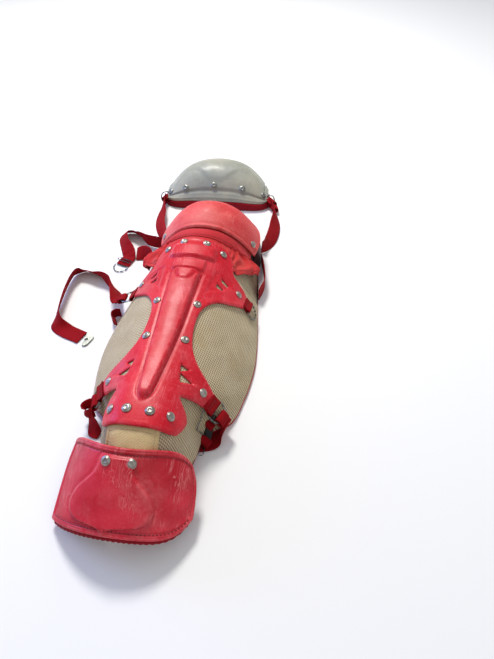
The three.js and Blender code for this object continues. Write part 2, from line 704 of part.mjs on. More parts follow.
function thighDome(u, v) {
  const [x, y] = thighPlan(u, v);
  const a = Math.min(Math.abs(u), 1);
  const peak = 0.46;
  const away = v < peak ? (peak - v) / peak : (v - peak) / (1 - peak);
  const rise = (1 - a ** 2.6) * (1 - clamp01(away) ** 2.1);
  const rim = THIGH_RIM + THIGH_ARCH * (1 - a * a);
  const step = THIGH_STEP * ease(0.06, 0.1, v) * (1 - ease(0.95, 1, v)) * (1 - ease(0.93, 1, a));
  return V(x, y, rim + (THIGH_HEIGHT - rim) * rise + step);
}

function thighPlace() {
  return new THREE.Matrix4().makeRotationZ(THREE.MathUtils.degToRad(THIGH_TURN))
    .setPosition(THIGH_SHIFT, THIGH_NEAR, 0);
}

function thighCap() {
  const place = thighPlace();
  const dome = shell(thighDome, THIGH_LINES, THIGH_COLUMNS, 0, -THIGH_WALL);
  const cap = add('thigh_cap', dome, COLOURS.thigh, place);
  const rivets = [
    { name: 'end_left', u: -0.91, v: 0.2 },
    { name: 'left', u: -0.6, v: 0.13 },
    { name: 'middle', u: -0.05, v: 0.13 },
    { name: 'right', u: 0.5, v: 0.13 },
    { name: 'end_right', u: 0.91, v: 0.2 },
  ];
  for (const { name, u, v } of rivets) {
    addRivet(`thigh_${name}`, cap, place.clone().multiply(surfaceFrame(thighDome, u, v)));
  }
}

function thighPad() {
  const deep = THIGH_WALL + GAP;
  const sheet = (depth, grow) => {
    const inner = grid(THIGH_LINES, THIGH_COLUMNS, (u, v) => offset(thighDome, u, v, -depth));
    for (const line of inner) for (const p of line) p.z = Math.max(p.z, 1);
    const spread = (u, v) => {
      const [x, y] = thighPlan(u, v);
      const centre = [0, 0.45 * THIGH_LENGTH];
      const reach = Math.hypot(x - centre[0], y - centre[1]);
      return V(x + (grow * (x - centre[0])) / reach, y + (grow * (y - centre[1])) / reach, 0);
    };
    const rows = THIGH_LINES.map((v, i) => [spread(-1, v), ...inner[i], spread(1, v)]);
    const border = (v) => {
      const line = THIGH_COLUMNS.map((u) => spread(u, v));
      return [line[0].clone(), ...line, line[line.length - 1].clone()];
    };
    return { rows, near: border(0), far: border(1) };
  };
  const top = sheet(deep, THIGH_PAD_PROUD);
  const low = sheet(deep + THIGH_PAD_WALL, -THIGH_PAD_WALL);
  add('thigh_pad', slab(
    [top.near, ...top.rows, top.far],
    [low.near, ...low.rows, low.far],
  ), COLOURS.webbing, thighPlace());
}

// Toe cap: a half pipe that slopes down from the ankle to the floor
const TOE_NEAR = PLATE_FOOT - TAB_SHOWN;
const TOE_LINES = mirrored([0, 0.17, 0.34, 0.5, 0.65, 0.79, 0.91, 1]);
const TOE_ROWS = [0, 0.08, 0.2, 0.34, 0.48, 0.62, 0.76, 0.9, 1];

// How far each corner is rounded off and the top edge hollowed, shares of the cap's length
const TOE_CORNERS = { topLeft: 0.06, topRight: 0.2, footLeft: 0.02, footRight: 0.2 };
const TOE_HOLLOW = 0.1;

// Widths and depths of the toe cap along its slope, shares of TOE_HALF and TOE_DEPTH
const TOE_SECTIONS = [
  { at: 0.0, half: 0.9, depth: 0.95, trim: 0.1 },
  { at: 0.3, half: 0.97, depth: 0.97, trim: 0 },
  { at: 0.7, half: 1.0, depth: 0.9, trim: 0 },
  { at: 1.0, half: 1.0, depth: 0.8, trim: 0.05 },
];

function toe(u, v) {
  const slope = THREE.MathUtils.degToRad(TOE_SLOPE);
  const down = V(0, -Math.cos(slope), -Math.sin(slope));
  const normal = V(0, -Math.sin(slope), Math.cos(slope));
  const a = Math.abs(u);
  const top = u < 0 ? TOE_CORNERS.topLeft : TOE_CORNERS.topRight;
  const foot = u < 0 ? TOE_CORNERS.footLeft : TOE_CORNERS.footRight;
  const near = -TOE_HOLLOW * Math.min(a, 1) ** 2 + top * a ** 8;
  const along = mix(near, 1 - foot * a ** 8, v) * TOE_LENGTH;
  const half = read(TOE_SECTIONS, v, 'half') * TOE_HALF;
  const depth = read(TOE_SECTIONS, v, 'depth') * TOE_DEPTH;
  return V(TOE_SHIFT + half * u, TOE_NEAR, TOE_TOP)
    .addScaledVector(down, along).addScaledVector(normal, -depth * a ** 2.1);
}

function toeBoss(u, v) {
  const half = 0.2 + 0.28 * ease(0.2, 0.62, v);
  const rise = ease(0.1, 0.17, v) * (1 - ease(0.88, 0.95, v));
  return TOE_BOSS_RISE * rise * (1 - ease(half - 0.06, half + 0.06, Math.abs(u + 0.08)));
}

function toeCap() {
  const cap = add('toe_cap', shell(toe, TOE_ROWS, TOE_LINES, toeBoss, -TOE_WALL), COLOURS.plate);
  addRivet('toe_left', cap, surfaceFrame(toe, -0.19, 0.16));
  addRivet('toe_right', cap, surfaceFrame(toe, 0.17, 0.16));
}

function toePad() {
  const rows = [0.2, 0.34, 0.55, 0.76, 0.9, 1];
  const floor = (point) => {
    point.z = Math.max(point.z, 0);
    return point;
  };
  const depth = TOE_WALL + GAP + 0.1;
  const sheet = (deep) => grid(rows, TOE_LINES, (u, v) => floor(offset(toe, u, v, -deep)));
  add('toe_pad', slab(sheet(depth), sheet(depth + TOE_PAD_WALL)), COLOURS.lining);
}

function ankleTab() {
  const columns = mirrored([0, 0.25, 0.5, 0.75, 1]);
  const point = (u, v, lift) => {
    const y = mix(TAB_Y, PAD_FOOT - 4, v);
    return clothPoint(TAB_SHIFT + TAB_HALF * u, y, lift);
  };
  const rows = [0, 0.2, 0.4, 0.6, 0.8, 1];
  add('ankle_tab', slab(
    grid(rows, columns, (u, v) => point(u, v, CLOTH_WALL)),
    grid(rows, columns, (u, v) => point(u, v, 0)),
  ), COLOURS.canvas);
}

// Wing tips: where a keeper holds its D-ring, the heading in which they point,
// and how far each ring hangs down towards the pad, in degrees, left and right
const TIPS = [
  { name: 'upper', along: 0.785, out: 0.98, heading: [0.94, -0.34], droop: [-32, 8] },
  { name: 'lower', along: 0.212, out: 0.785, heading: [0.9, -0.43], droop: [4, -6] },
];
const EYE = RING_WIRE + GAP; // radius of the hole that the ring's bar lies in

function keeperGeometry() {
  const outer = EYE + WEB_WALL;
  const half = 0.8 * WEB_WALL;
  const start = Math.asin(half / outer);
  const shape = new THREE.Shape();
  shape.moveTo(GAP, half);
  shape.absarc(KEEPER_LENGTH, 0, outer, Math.PI - start, -Math.PI + start, true);
  shape.lineTo(GAP, -half);
  shape.holes.push(new THREE.Path().absarc(KEEPER_LENGTH, 0, EYE, 0, 2 * Math.PI, false));
  const depth = WEB_WIDTH - 1;
  const geometry = new THREE.ExtrudeGeometry(shape, { depth, bevelEnabled: false, curveSegments: 5 });
  geometry.translate(0, 0, -depth / 2);
  geometry.rotateX(Math.PI / 2);
  return weld(geometry);
}

// The D-ring in its own frame: its bar across the origin, its bow along x
const RING_SHOULDER = 0.22 * RING_REACH;

function ringGeometry() {
  const points = [V(0, RING_HALF - 1, 0), V(0, 0, 0), V(0, 1 - RING_HALF, 0)];
  const bows = 8;
  for (let i = 0; i <= bows; i += 1) {
    const angle = mix(-0.5, 0.5, i / bows) * Math.PI;
    const reach = RING_SHOULDER + (RING_REACH - RING_SHOULDER) * Math.cos(angle);
    points.push(V(reach, RING_HALF * Math.sin(angle), 0));
  }
  return wire(points, RING_WIRE, 6, true, V(0, 0, 1));
}

function tipFrame(tip, side) {
  const [headingX, headingY] = tip.heading;
  const lift = SEAT + PLATE_WALL / 2 + 1.5;
  return shinFrame(side * tip.out * PLATE_HALF, plateY(tip.along), side * headingX, headingY, lift);
}

function ringFrame(tip, side) {
  const droop = THREE.MathUtils.degToRad(tip.droop[side < 0 ? 0 : 1]);
  return tipFrame(tip, side)
    .multiply(new THREE.Matrix4().makeTranslation(KEEPER_LENGTH, 0, 0))
    .multiply(new THREE.Matrix4().makeRotationY(droop));
}

function keepersAndRings() {
  for (const tip of TIPS) {
    for (const side of [-1, 1]) {
      const label = `${tip.name}_${side < 0 ? 'left' : 'right'}`;
      add(`keeper_${label}`, keeperGeometry(), COLOURS.webbing, tipFrame(tip, side));
      add(`ring_${label}`, ringGeometry(), COLOURS.steel, ringFrame(tip, side));
    }
  }
}

// A strap's end laid round a ring's bow and back on itself, as places in the ring's frame
const WRAP_WIDTH = 18;
const WRAP = [
  { x: 29, z: -1 }, { x: 25, z: -1 }, { x: 22, z: -3.3 }, { x: 15.3, z: -3.6 },
  { x: 12.6, z: -2.4 }, { x: 11.6, z: 0 }, { x: 12.6, z: 2.4 }, { x: 15.3, z: 3.6 },
  { x: 22, z: 3.3 }, { x: 25, z: 1 }, { x: 29, z: 1 },
];

function wrapRows(tip, side) {
  const frame = ringFrame(tip, side);
  const across = V(0, 1, 0).transformDirection(frame);
  return WRAP.map(({ x, z }) => ({ point: V(x, 0, z).applyMatrix4(frame), across, width: WRAP_WIDTH }));
}

// Rows of a strap's free run from a table of x, y, z, then the direction of its width. x and y
// are counted from a place that moves from one anchor to the other along the run
function runRows(table, start, end, width = WEB_WIDTH) {
  return table.map(([x, y, z, wx, wy, wz], i) => {
    const point = start.clone().lerp(end, i / (table.length - 1)).setZ(0).add(V(x, y, z));
    return { point, across: V(wx, wy, wz), width };
  });
}

const EDGE_ON = WEB_WIDTH / 2 + GAP; // height of the middle of a strap that stands on its edge
const LEANING = 0.38 * WEB_WIDTH + GAP; // and of one that leans over
const LOOP_WIDTH = 18;

const UPPER_RUN = [
  [-40.5, 25.6, EDGE_ON + 4, -0.5, -0.3, 0.8],
  [-59.5, 47.6, EDGE_ON, 0.1, 0.1, 1],
  [-85.5, 63.6, LEANING, 0.3, -0.6, 0.7],
  [-106.5, 70.6, LEANING, 0.2, -0.7, 0.7],
  [-118.5, 67.6, LEANING, 0.5, -0.5, 0.7],
  [-124.5, 57.6, LEANING, 0.7, -0.2, 0.7],
  [-125.5, 34.6, LEANING, 0.7, 0, 0.7],
  [-121.5, -3.4, LEANING, 0.7, 0.1, 0.7],
  [-116.5, -34.4, LEANING, 0.6, 0.1, 0.75],
  [-110.5, -52.4, 8, 0.75, 0.5, 0.6],
  [-93.5, -60.4, 2.5, 0.45, 0.9, 0.1],
  [-74.5, -66.4, 1.2, 0.35, 0.94, 0],
  [-64.5, -69.9, 1.2, 0.35, 0.94, 0],
];
const UPPER_LOOP = [
  [2.6, -17.4, 9.5, 0, 0, 1],
  [-5, -18.4, 9.5, 0, 0, 1],
  [-9, -25.4, 9.5, 0, 0, 1],
  [-5, -34.4, 9.5, 0, 0, 1],
  [2.3, -38.4, 9.5, 0, 0, 1],
];
const KNEE_LEFT = [
  [-1, 56, EDGE_ON, 0, 0, 1],
  [-35, 61, EDGE_ON, 0, 0, 1],
  [-58, 76, LEANING, 0.3, -0.6, 0.7],
  [-74, 85, LEANING, 0.2, -0.7, 0.7],
  [-85, 82, LEANING, 0.6, -0.4, 0.7],
  [-87, 70, LEANING, 0.7, 0, 0.7],
  [-78, 49, LEANING, 0.6, 0.2, 0.7],
  [-68, 35, 8, 0.75, 0.5, 0.5],
  [-63, 23, 2.5, 0.95, -0.3, 0.1],
  [-66, 9, 1.2, 0.97, -0.25, 0],
  [-68, 1, 1.2, 0.97, -0.25, 0],
];
const KNEE_STUB = [
  [-12.6, 5, EDGE_ON, 0, 0, 1],
  [-19, 19, EDGE_ON, 0, 0.3, 1],
  [-34, 28, 11, 0, 0.6, 0.8],
  [-50, 29, 5.5, 0, 0.9, 0.4],
];
const KNEE_RIGHT = [
  [3.2, 39, EDGE_ON, 0, 0, 1],
  [8, 23, EDGE_ON, 0, 0, 1],
  [13, 2, EDGE_ON, 0, 0, 1],
  [16, -23, EDGE_ON, 0, 0, 1],
  [10.6, -51, EDGE_ON, 0, 0, 1],
];
const THIGH_LEFT = [
  [-1.1, 3, EDGE_ON, 0, 0, 1],
  [-9.6, 23.8, EDGE_ON, 0.3, 0.1, 1],
  [-13.2, 32.6, LEANING, 0.75, 0, 0.65],
  [-14.8, 39.4, LEANING, 0.75, 0, 0.65],
  [-8.4, 49.2, LEANING, 0.5, 0, 0.7],
  [1.4, 73, EDGE_ON, 0, 0, 1],
];
const THIGH_RIGHT = [
  [2.3, 21, EDGE_ON, 0, 0, 1],
  [16.8, 27.8, EDGE_ON, -0.3, 0, 1],
  [19.6, 28.6, LEANING, -0.75, 0, 0.65],
  [16.4, 31.4, LEANING, -0.75, 0, 0.65],
  [9.2, 46.2, LEANING, -0.4, 0, 0.8],
  [-0.6, 71, EDGE_ON, 0, 0, 1],
];
const LOWER_RUN = [
  [12.9, -16.7, 7, -0.45, 0.85, 0.1],
  [-1.1, -25.7, 1.3, -0.3, 0.95, 0],
  [-45.1, -30.7, 1.3, 0, 1, 0],
  [-125.1, -30.7, 1.3, 0, 1, 0],
];
const LOWER_TAIL = [
  [-13.9, -16.7, 13, 0.6, -0.5, 0.5],
  [-7.9, -25.7, 7, 0.85, -0.15, 0.4],
  [-2.9, -37.7, 1.2, 0.95, 0.3, 0],
];

// Places on the floor that the straps and hooks are counted from
function ringAnchor(tip, side) {
  return V(0, 0, 0).applyMatrix4(ringFrame(tip, side));
}
const UPPER_RING = ringAnchor(TIPS[0], -1);
const LOWER_RING = ringAnchor(TIPS[1], 1);
const PAD_SIDE = V(-PAD_HALF, UPPER_RING.y, 0);
const KNEE_SIDE = {
  left: V(KNEE_SHIFT - KNEE_HALF, KNEE_NEAR, 0),
  right: V(KNEE_SHIFT + KNEE_HALF, KNEE_NEAR, 0),
};
const THIGH_SIDE = {
  left: V(THIGH_SHIFT - THIGH_HALF, THIGH_NEAR, 0),
  right: V(THIGH_SHIFT + THIGH_HALF, THIGH_NEAR, 0),
};

function straps() {
  const [upper, lower] = TIPS;
  const fromRing = (tip, side, table, steps, width) => {
    const wrap = wrapRows(tip, side);
    const last = wrap[wrap.length - 1];
    const anchor = ringAnchor(tip, side);
    return [...wrap.slice(0, -1), ...smoothRows([last, ...runRows(table, anchor, anchor, width)], steps)];
  };
  const between = (table, start, end, width) => smoothRows(runRows(table, start, end, width), 2);
  const { left, right } = KNEE_SIDE;
  const list = [
    { name: 'upper_strap', rows: fromRing(upper, -1, UPPER_RUN, 2) },
    { name: 'upper_loop', rows: between(UPPER_LOOP, PAD_SIDE, PAD_SIDE, LOOP_WIDTH) },
    { name: 'knee_strap_left', rows: between(KNEE_LEFT, left, left) },
    { name: 'knee_stub_left', rows: between(KNEE_STUB, left, left) },
    { name: 'knee_strap_right', rows: between(KNEE_RIGHT, right, right) },
    { name: 'thigh_strap_left', rows: between(THIGH_LEFT, THIGH_SIDE.left, left) },
    { name: 'thigh_strap_right', rows: between(THIGH_RIGHT, THIGH_SIDE.right, right) },
    { name: 'lower_strap', rows: fromRing(lower, 1, LOWER_RUN, 2) },
    { name: 'lower_tail', rows: fromRing(lower, -1, LOWER_TAIL, 3, LOOP_WIDTH) },
  ];
  for (const { name, rows } of list) add(name, ribbon(rows, WEB_WALL), COLOURS.webbing);
}

// A frame lying flat, at x and y from an anchor, its x axis along a heading on the floor
function flatFrame(anchor, x, y, z, heading) {
  return new THREE.Matrix4().makeRotationZ(THREE.MathUtils.degToRad(heading))
    .setPosition(anchor.x + x, anchor.y + y, z);
}

// A closed loop of wire through corners given as x and y in its own plane
function wireLoop(corners) {
  return wire(corners.map(([x, y]) => V(x, y, 0)), HOOK_WIRE, 6, true, V(0, 0, 1));
}

// Hooks and slides at the ends of the free straps
function hooks() {
  const { left } = KNEE_SIDE;
  const end = new THREE.Shape();
  end.moveTo(0, -12);
  end.absarc(9, -6, 6, -Math.PI / 2, 0, false);
  end.absarc(9, 6, 6, 0, Math.PI / 2, false);
  end.lineTo(0, 12);
  end.holes.push(new THREE.Path().absarc(8, 0, 3, 0, 2 * Math.PI, false));
  const plate = new THREE.ExtrudeGeometry(end, { depth: 2.6, bevelEnabled: false, curveSegments: 4 });
  add('hook_upper', weld(plate), COLOURS.steel, flatFrame(UPPER_RING, -63.8, -70.2, 0, -20));
  const loop = [[0, 12], [0, -12], [3, -13.2], [10, -11], [16, -5], [17, 0], [16, 5], [10, 11], [3, 13.2]];
  add('hook_knee', wireLoop(loop), COLOURS.dark, flatFrame(left, -68.7, -0.8, 1.5, -105));
  const slide = [[-3, -14], [3, -14], [3, 14], [-3, 14]];
  add('slide_knee', wireLoop(slide), COLOURS.dark, flatFrame(left, -66, 10, 4.4, -107));
  add('slide_lower', wireLoop(slide), COLOURS.dark, flatFrame(LOWER_RING, -11.1, -30.7, 4.2, 180));
}

shinPad();
bindings();
plateRivets(shinPlate());
kneeCap();
kneePad();
kneeFlex();
kneeBand();
thighCap();
thighPad();
toeCap();
toePad();
ankleTab();
keepersAndRings();
straps();
hooks();

// The origin goes to the bottom centre of the whole guard's box
guard.updateMatrixWorld(true);
const bounds = new THREE.Box3().setFromObject(guard, true);
const middle = bounds.getCenter(V(0, 0, 0));
for (const mesh of guard.children) {
  mesh.position.sub(V(middle.x, middle.y, bounds.min.z));
}

export default guard;
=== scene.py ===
"""Catcher's leg guard: the looks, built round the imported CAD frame.

Shapes are worked out in the guard's own frame in millimetres, in which the middle of the shin
plate is x = 0 and the floor z = 0, and are moved to the row frame in metres when a mesh is made.
"""

import math

import bpy
import numpy as np
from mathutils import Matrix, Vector
from mathutils.geometry import delaunay_2d_cdt


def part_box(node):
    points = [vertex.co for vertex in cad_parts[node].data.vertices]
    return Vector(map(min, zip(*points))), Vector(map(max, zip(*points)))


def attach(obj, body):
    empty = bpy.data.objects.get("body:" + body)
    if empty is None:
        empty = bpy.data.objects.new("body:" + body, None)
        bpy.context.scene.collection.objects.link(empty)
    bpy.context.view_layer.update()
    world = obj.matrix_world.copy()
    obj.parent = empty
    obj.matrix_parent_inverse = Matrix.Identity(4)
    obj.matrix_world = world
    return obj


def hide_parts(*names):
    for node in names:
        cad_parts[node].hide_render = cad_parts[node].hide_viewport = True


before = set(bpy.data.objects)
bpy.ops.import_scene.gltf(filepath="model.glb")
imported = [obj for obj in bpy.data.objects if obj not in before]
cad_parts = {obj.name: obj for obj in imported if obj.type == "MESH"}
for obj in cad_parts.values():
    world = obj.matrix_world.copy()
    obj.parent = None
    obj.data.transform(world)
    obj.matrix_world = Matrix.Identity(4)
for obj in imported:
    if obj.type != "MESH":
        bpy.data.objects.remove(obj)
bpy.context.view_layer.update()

# Sizes in millimetres, the same as the solids'
SEAT = 1.2
GAP = 0.3
PLATE_LENGTH, PLATE_HALF, PLATE_WALL, PLATE_ANCHOR = 335, 83, 3, 0.418
RIDGE_RISE, RIDGE_HALF, BROW_RISE, BOSS_RISE, WING_RECESS = 6, 20, 5, 5, 1.4
PAD_HALF, PAD_HEIGHT, PAD_WALL, PAD_PAST_TOP, PAD_PAST_FOOT = 113, 97, 15, 40, 25
ANKLE_LIFT, CREASE_DEPTH, BINDING_HEIGHT, BINDING_INSET = 7, 7, 5, 1.5
CLOTH_WALL, WEB_WIDTH, WEB_WALL, BAND_WIDTH = 1.6, 25, 1.6, 17
KNEE_REACH, KNEE_LENGTH, KNEE_HALF, KNEE_HEIGHT, KNEE_EDGE = 28, 122, 85, 110, 42
KNEE_SHIFT, KNEE_BOW, KNEE_WALL, KNEE_PAD_WALL, KNEE_PAD_FLARE = 5, 10, 3, 14, 5
FLEX_HEM, FLEX_FLARE, FLEX_RUFFLE, FLEX_TUCK = 32, 7, 2.4, 10
THIGH_REACH, THIGH_LENGTH, THIGH_HALF, THIGH_HEIGHT = 72, 138, 101, 61
THIGH_RIM, THIGH_ARCH, THIGH_SHIFT, THIGH_TURN, THIGH_WALL = 13, 6, -17, 4, 3
THIGH_PAD_WALL, THIGH_PAD_PROUD = 12, 3
TAB_SHOWN, TAB_HALF, TAB_SHIFT = 27, 29.5, -2.5
TOE_LENGTH, TOE_SLOPE, TOE_HALF, TOE_DEPTH, TOE_TOP, TOE_SHIFT = 90, 29, 80, 52, 90, -6
TOE_WALL, TOE_PAD_WALL, TOE_BOSS_RISE = 3, 9, 3
RIVET_RADIUS, RIVET_HEIGHT = 5.5, 2.6
KEEPER_LENGTH, TIP_WIDTH = 13, 18
RIPPLE_WAVES, RIPPLE_REACH = 6, 3.5

PLATE_FOOT = -PLATE_ANCHOR * PLATE_LENGTH
PLATE_TOP = (1 - PLATE_ANCHOR) * PLATE_LENGTH
PAD_FOOT = PLATE_FOOT - PAD_PAST_FOOT
PAD_TOP = PLATE_TOP + PAD_PAST_TOP
HEM_Y = PLATE_TOP - FLEX_HEM
TAB_Y = PLATE_FOOT + 6
KNEE_NEAR = PLATE_TOP + KNEE_REACH
THIGH_NEAR = KNEE_NEAR + KNEE_LENGTH + THIGH_REACH
TOE_NEAR = PLATE_FOOT - TAB_SHOWN

low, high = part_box("shin_plate")
OFFSET = np.array([(low[0] + high[0]) / 2, high[1] - PLATE_TOP / 1000, 0.0])


# Small helpers
def ease(start, end, value):
    t = np.clip((value - start) / (end - start), 0, 1)
    return t * t * (3 - 2 * t)


def between(value, up_from, up_to, down_from, down_to):
    """1 inside a span and 0 outside it, eased at both ends."""
    return ease(up_from, up_to, value) * (1 - ease(down_from, down_to, value))


def bump(value, centre, spread):
    return np.exp(-(((value - centre) / spread) ** 2))


def mix(a, b, t):
    return a + (b - a) * t


def read(rows, at, column):
    """Smooth reading of one column of a table ordered by its first column."""
    table = np.array(rows, float)
    ats, values = table[:, 0], table[:, column]
    last = len(ats) - 1
    at = np.asarray(at, float)
    i = np.clip(np.searchsorted(ats, at, side="left") - 1, 0, last - 1)
    step = ats[i + 1] - ats[i]
    t = np.clip((at - ats[i]) / step, 0, 1)
    a, b = values[i], values[i + 1]
    before, after = np.maximum(i - 1, 0), np.minimum(i + 2, last)
    slope_a = (b - values[before]) / (ats[i + 1] - ats[before]) * step
    slope_b = (values[after] - a) / (ats[after] - ats[i]) * step
    return ((2 * t**3 - 3 * t**2 + 1) * a + (t**3 - 2 * t**2 + t) * slope_a
            + (3 * t**2 - 2 * t**3) * b + (t**3 - t**2) * slope_b)


def unit(v):
    return v / np.maximum(np.linalg.norm(v, axis=-1, keepdims=True), 1e-9)


def stack(x, y, z):
    x, y, z = np.broadcast_arrays(x, y, z)
    return np.stack([x, y, z], -1).astype(float)


def ripple(x, y, scale, seed):
    """Gentle unevenness from a few crossed waves, about -1 to 1."""
    rng = np.random.default_rng(seed)
    total = 0
    for _ in range(RIPPLE_WAVES):
        angle = rng.uniform(0, math.pi)
        size = scale * rng.uniform(0.6, 1.7)
        phase = rng.uniform(0, 2 * math.pi)
        along = x * math.cos(angle) + y * math.sin(angle)
        total = total + np.sin(along / size * 2 * math.pi + phase)
    return total / RIPPLE_REACH


def running(points):
    """Length along a line of points up to each of them."""
    return np.cumsum(np.pad(np.linalg.norm(np.diff(points, axis=0), axis=1), (1, 0)))


# Meshes
def add(name, data):
    """A new object in the scene."""
    obj = bpy.data.objects.new(name, data)
    bpy.context.scene.collection.objects.link(obj)
    return obj


def patch(columns, rows):
    """A grid of u from -1 to 1, finer towards its sides, and of v from 0 to 1."""
    u = np.sin(np.linspace(-1, 1, columns) * math.pi / 2)
    return np.meshgrid(u, np.linspace(0, 1, rows))


def make(name, points, faces, material, replaces=(), slot=None, uv=None):
    """A piece from points in the guard's frame. uv is one pair for each point, in metres."""
    mesh = bpy.data.meshes.new(name)
    mesh.from_pydata((np.asarray(points) / 1000 + OFFSET).tolist(), [], [list(f) for f in faces])
    mesh.polygons.foreach_set("use_smooth", [True] * len(mesh.polygons))
    if uv is not None:
        layer = mesh.uv_layers.new(name="UVMap")
        index = np.empty(len(mesh.loops), int)
        mesh.loops.foreach_get("vertex_index", index)
        layer.data.foreach_set("uv", np.asarray(uv)[index].astype(float).ravel())
    mesh.materials.append(material)
    mesh.update()
    obj = add(name, mesh)
    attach(obj, "root")
    if replaces:
        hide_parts(*replaces)
    return obj


def lengths(points, axis):
    """Running length along one axis of a grid of points, in metres."""
    steps = np.linalg.norm(np.diff(points, axis=axis), axis=-1)
    pad = [(0, 0), (0, 0)]
    pad[axis] = (1, 0)
    run = np.cumsum(np.pad(steps, pad), axis=axis)
    middle = run.shape[axis] // 2
    return (run - np.take(run, [middle], axis=axis)) / 1000


def slab(name, outer, inner, material, uv=None, **kwargs):
    """A closed piece between two grids of points; its uv runs along the outer grid unless given."""
    rows, columns = outer.shape[:2]
    count = rows * columns
    index = np.arange(count).reshape(rows, columns)
    faces = []
    for i in range(rows - 1):
        for j in range(columns - 1):
            a, b, c, d = index[i, j], index[i, j + 1], index[i + 1, j + 1], index[i + 1, j]
            faces.append((a, b, c, d))
            faces.append((a + count, d + count, c + count, b + count))
    border = [*index[0, :], *index[1:, -1], *index[-1, -2::-1], *index[-2:0:-1, 0]]
    for a, b in zip(border, border[1:] + border[:1]):
        faces.append((a, a + count, b + count, b))
    if uv is None:
        uv = np.stack([lengths(outer, 1), lengths(outer, 0)], -1)
    uv = uv.reshape(-1, 2)
    points = np.concatenate([outer.reshape(-1, 3), inner.reshape(-1, 3)])
    obj = make(name, points, faces, material, uv=np.concatenate([uv, uv]), **kwargs)
    face_out(obj)
    return obj


def face_out(obj):
    """Turns a closed mesh's faces outwards if they point in."""
    mesh = obj.data
    mesh.calc_loop_triangles()
    co = np.array([v.co for v in mesh.vertices])
    tri = np.array([t.vertices for t in mesh.loop_triangles])
    a, b, c = co[tri[:, 0]], co[tri[:, 1]], co[tri[:, 2]]
    if np.einsum("ij,ij->i", a - co.mean(0), np.cross(b - co.mean(0), c - co.mean(0))).sum() < 0:
        mesh.flip_normals()


def rings_round(path, radius, side, up, sides):
    """Rings of points round a path; radius is one number for each point of it."""
    angle = np.arange(sides) / sides * 2 * math.pi
    around = side[:, None] * np.cos(angle)[:, None] + up[:, None] * np.sin(angle)[:, None]
    return path[:, None] + radius[:, None, None] * around


def tube(name, path, radius, material, sides=10, closed=False, normal=(0.0, 0.0, 1.0), **kwargs):
    """A round cord along a path; radius may be one number or one for each point."""
    path = np.asarray(path, float)
    if closed:
        tangent = unit(np.roll(path, -1, 0) - np.roll(path, 1, 0))
    else:
        tangent = unit(np.gradient(path, axis=0))
    side = unit(np.cross(np.broadcast_to(normal, path.shape), tangent))
    up = np.cross(tangent, side)
    radius = np.broadcast_to(np.asarray(radius, float), len(path))
    return loft(name, rings_round(path, radius, side, up, sides), material, closed=closed, **kwargs)


def skin(count, sides, base=0, closed=False):
    """Faces between rings of points, which close on themselves if asked."""
    faces = []
    for i in range(count if closed else count - 1):
        n = (i + 1) % count
        for j in range(sides):
            k = (j + 1) % sides
            corners = (i * sides + j, i * sides + k, n * sides + k, n * sides + j)
            faces.append(tuple(base + corner for corner in corners))
    return faces


def end_caps(count, sides, base=0):
    """The faces that close the first and the last ring."""
    first = tuple(base + j for j in range(sides))[::-1]
    last = tuple(base + (count - 1) * sides + j for j in range(sides))
    return [first, last]


def loft(name, rings, material, closed=False, **kwargs):
    """A skin through rings of points, capped at its ends unless it is closed."""
    count, sides = rings.shape[:2]
    faces = skin(count, sides, closed=closed)
    if not closed:
        faces += end_caps(count, sides)
    run = running(rings.mean(1)) / 1000
    steps = np.linalg.norm(np.diff(rings, axis=1), axis=2)
    around = np.cumsum(np.pad(steps, ((0, 0), (1, 0))), axis=1) / 1000
    uv = np.stack([around, np.broadcast_to(run[:, None], around.shape)], -1).reshape(-1, 2)
    obj = make(name, rings.reshape(-1, 3), faces, material, uv=uv, **kwargs)
    face_out(obj)
    return obj


def stitches(name, surface, line, pitch, radius, share, material=None):
    """A row of thread stitches along a line of surface parameters."""
    fine = spline(line, 6)
    length = running(surface(fine))
    sides, rings = 6, 5
    bend = np.sin(np.linspace(0, 1, rings) * math.pi)
    fat = radius * np.array([0.45, 0.95, 1.05, 0.95, 0.45])
    points, faces = [], []
    for k in range(int(length[-1] / pitch)):
        spots = (k + np.linspace(0, share, rings)) * pitch
        path = surface(np.stack([np.interp(spots, length, column) for column in fine.T], -1))
        tangent = unit(np.gradient(path, axis=0))
        side = unit(np.cross(np.array([0.0, 0, 1.0]), tangent) + 1e-6)
        up = np.cross(tangent, side)
        path = path + up * (bend * radius * 0.5)[:, None]
        base = len(points)
        points.extend(rings_round(path, fat, side, up, sides).reshape(-1, 3))
        faces += skin(rings, sides, base) + end_caps(rings, sides, base)
    return make(name, points, faces, material or THREAD, slot="webbing")


# Materials
def feed(tree, item, inputs):
    """Links sockets and sets plain values on a node's inputs."""
    for key, value in inputs.items():
        if isinstance(value, bpy.types.NodeSocket):
            tree.links.new(value, item.inputs[key])
        else:
            item.inputs[key].default_value = value


def node(tree, kind, inputs=None, **settings):
    item = tree.nodes.new(kind)
    for key, value in settings.items():
        setattr(item, key, value)
    feed(tree, item, inputs or {})
    return item


def ramp(tree, value, stops):
    item = node(tree, "ShaderNodeValToRGB", {"Fac": value})
    while len(item.color_ramp.elements) < len(stops):
        item.color_ramp.elements.new(0.5)
    for element, (place, colour) in zip(item.color_ramp.elements, stops):
        element.position = place
        element.color = (*colour, 1) if len(colour) == 3 else colour
    return item.outputs["Color"]


def grey(*values):
    return [(place, (v, v, v)) for place, v in values]


def srgb(r, g, b):
    return tuple(((c / 255 + 0.055) / 1.055) ** 2.4 if c > 10 else c / 255 / 12.92 for c in (r, g, b))


def noise(tree, vector, scale, detail=4, roughness=0.55, stretch=None):
    if stretch:
        vector = node(tree, "ShaderNodeMapping", {"Vector": vector, "Scale": stretch}).outputs[0]
    inputs = {"Vector": vector, "Scale": scale, "Detail": detail, "Roughness": roughness}
    return node(tree, "ShaderNodeTexNoise", inputs).outputs["Fac"]


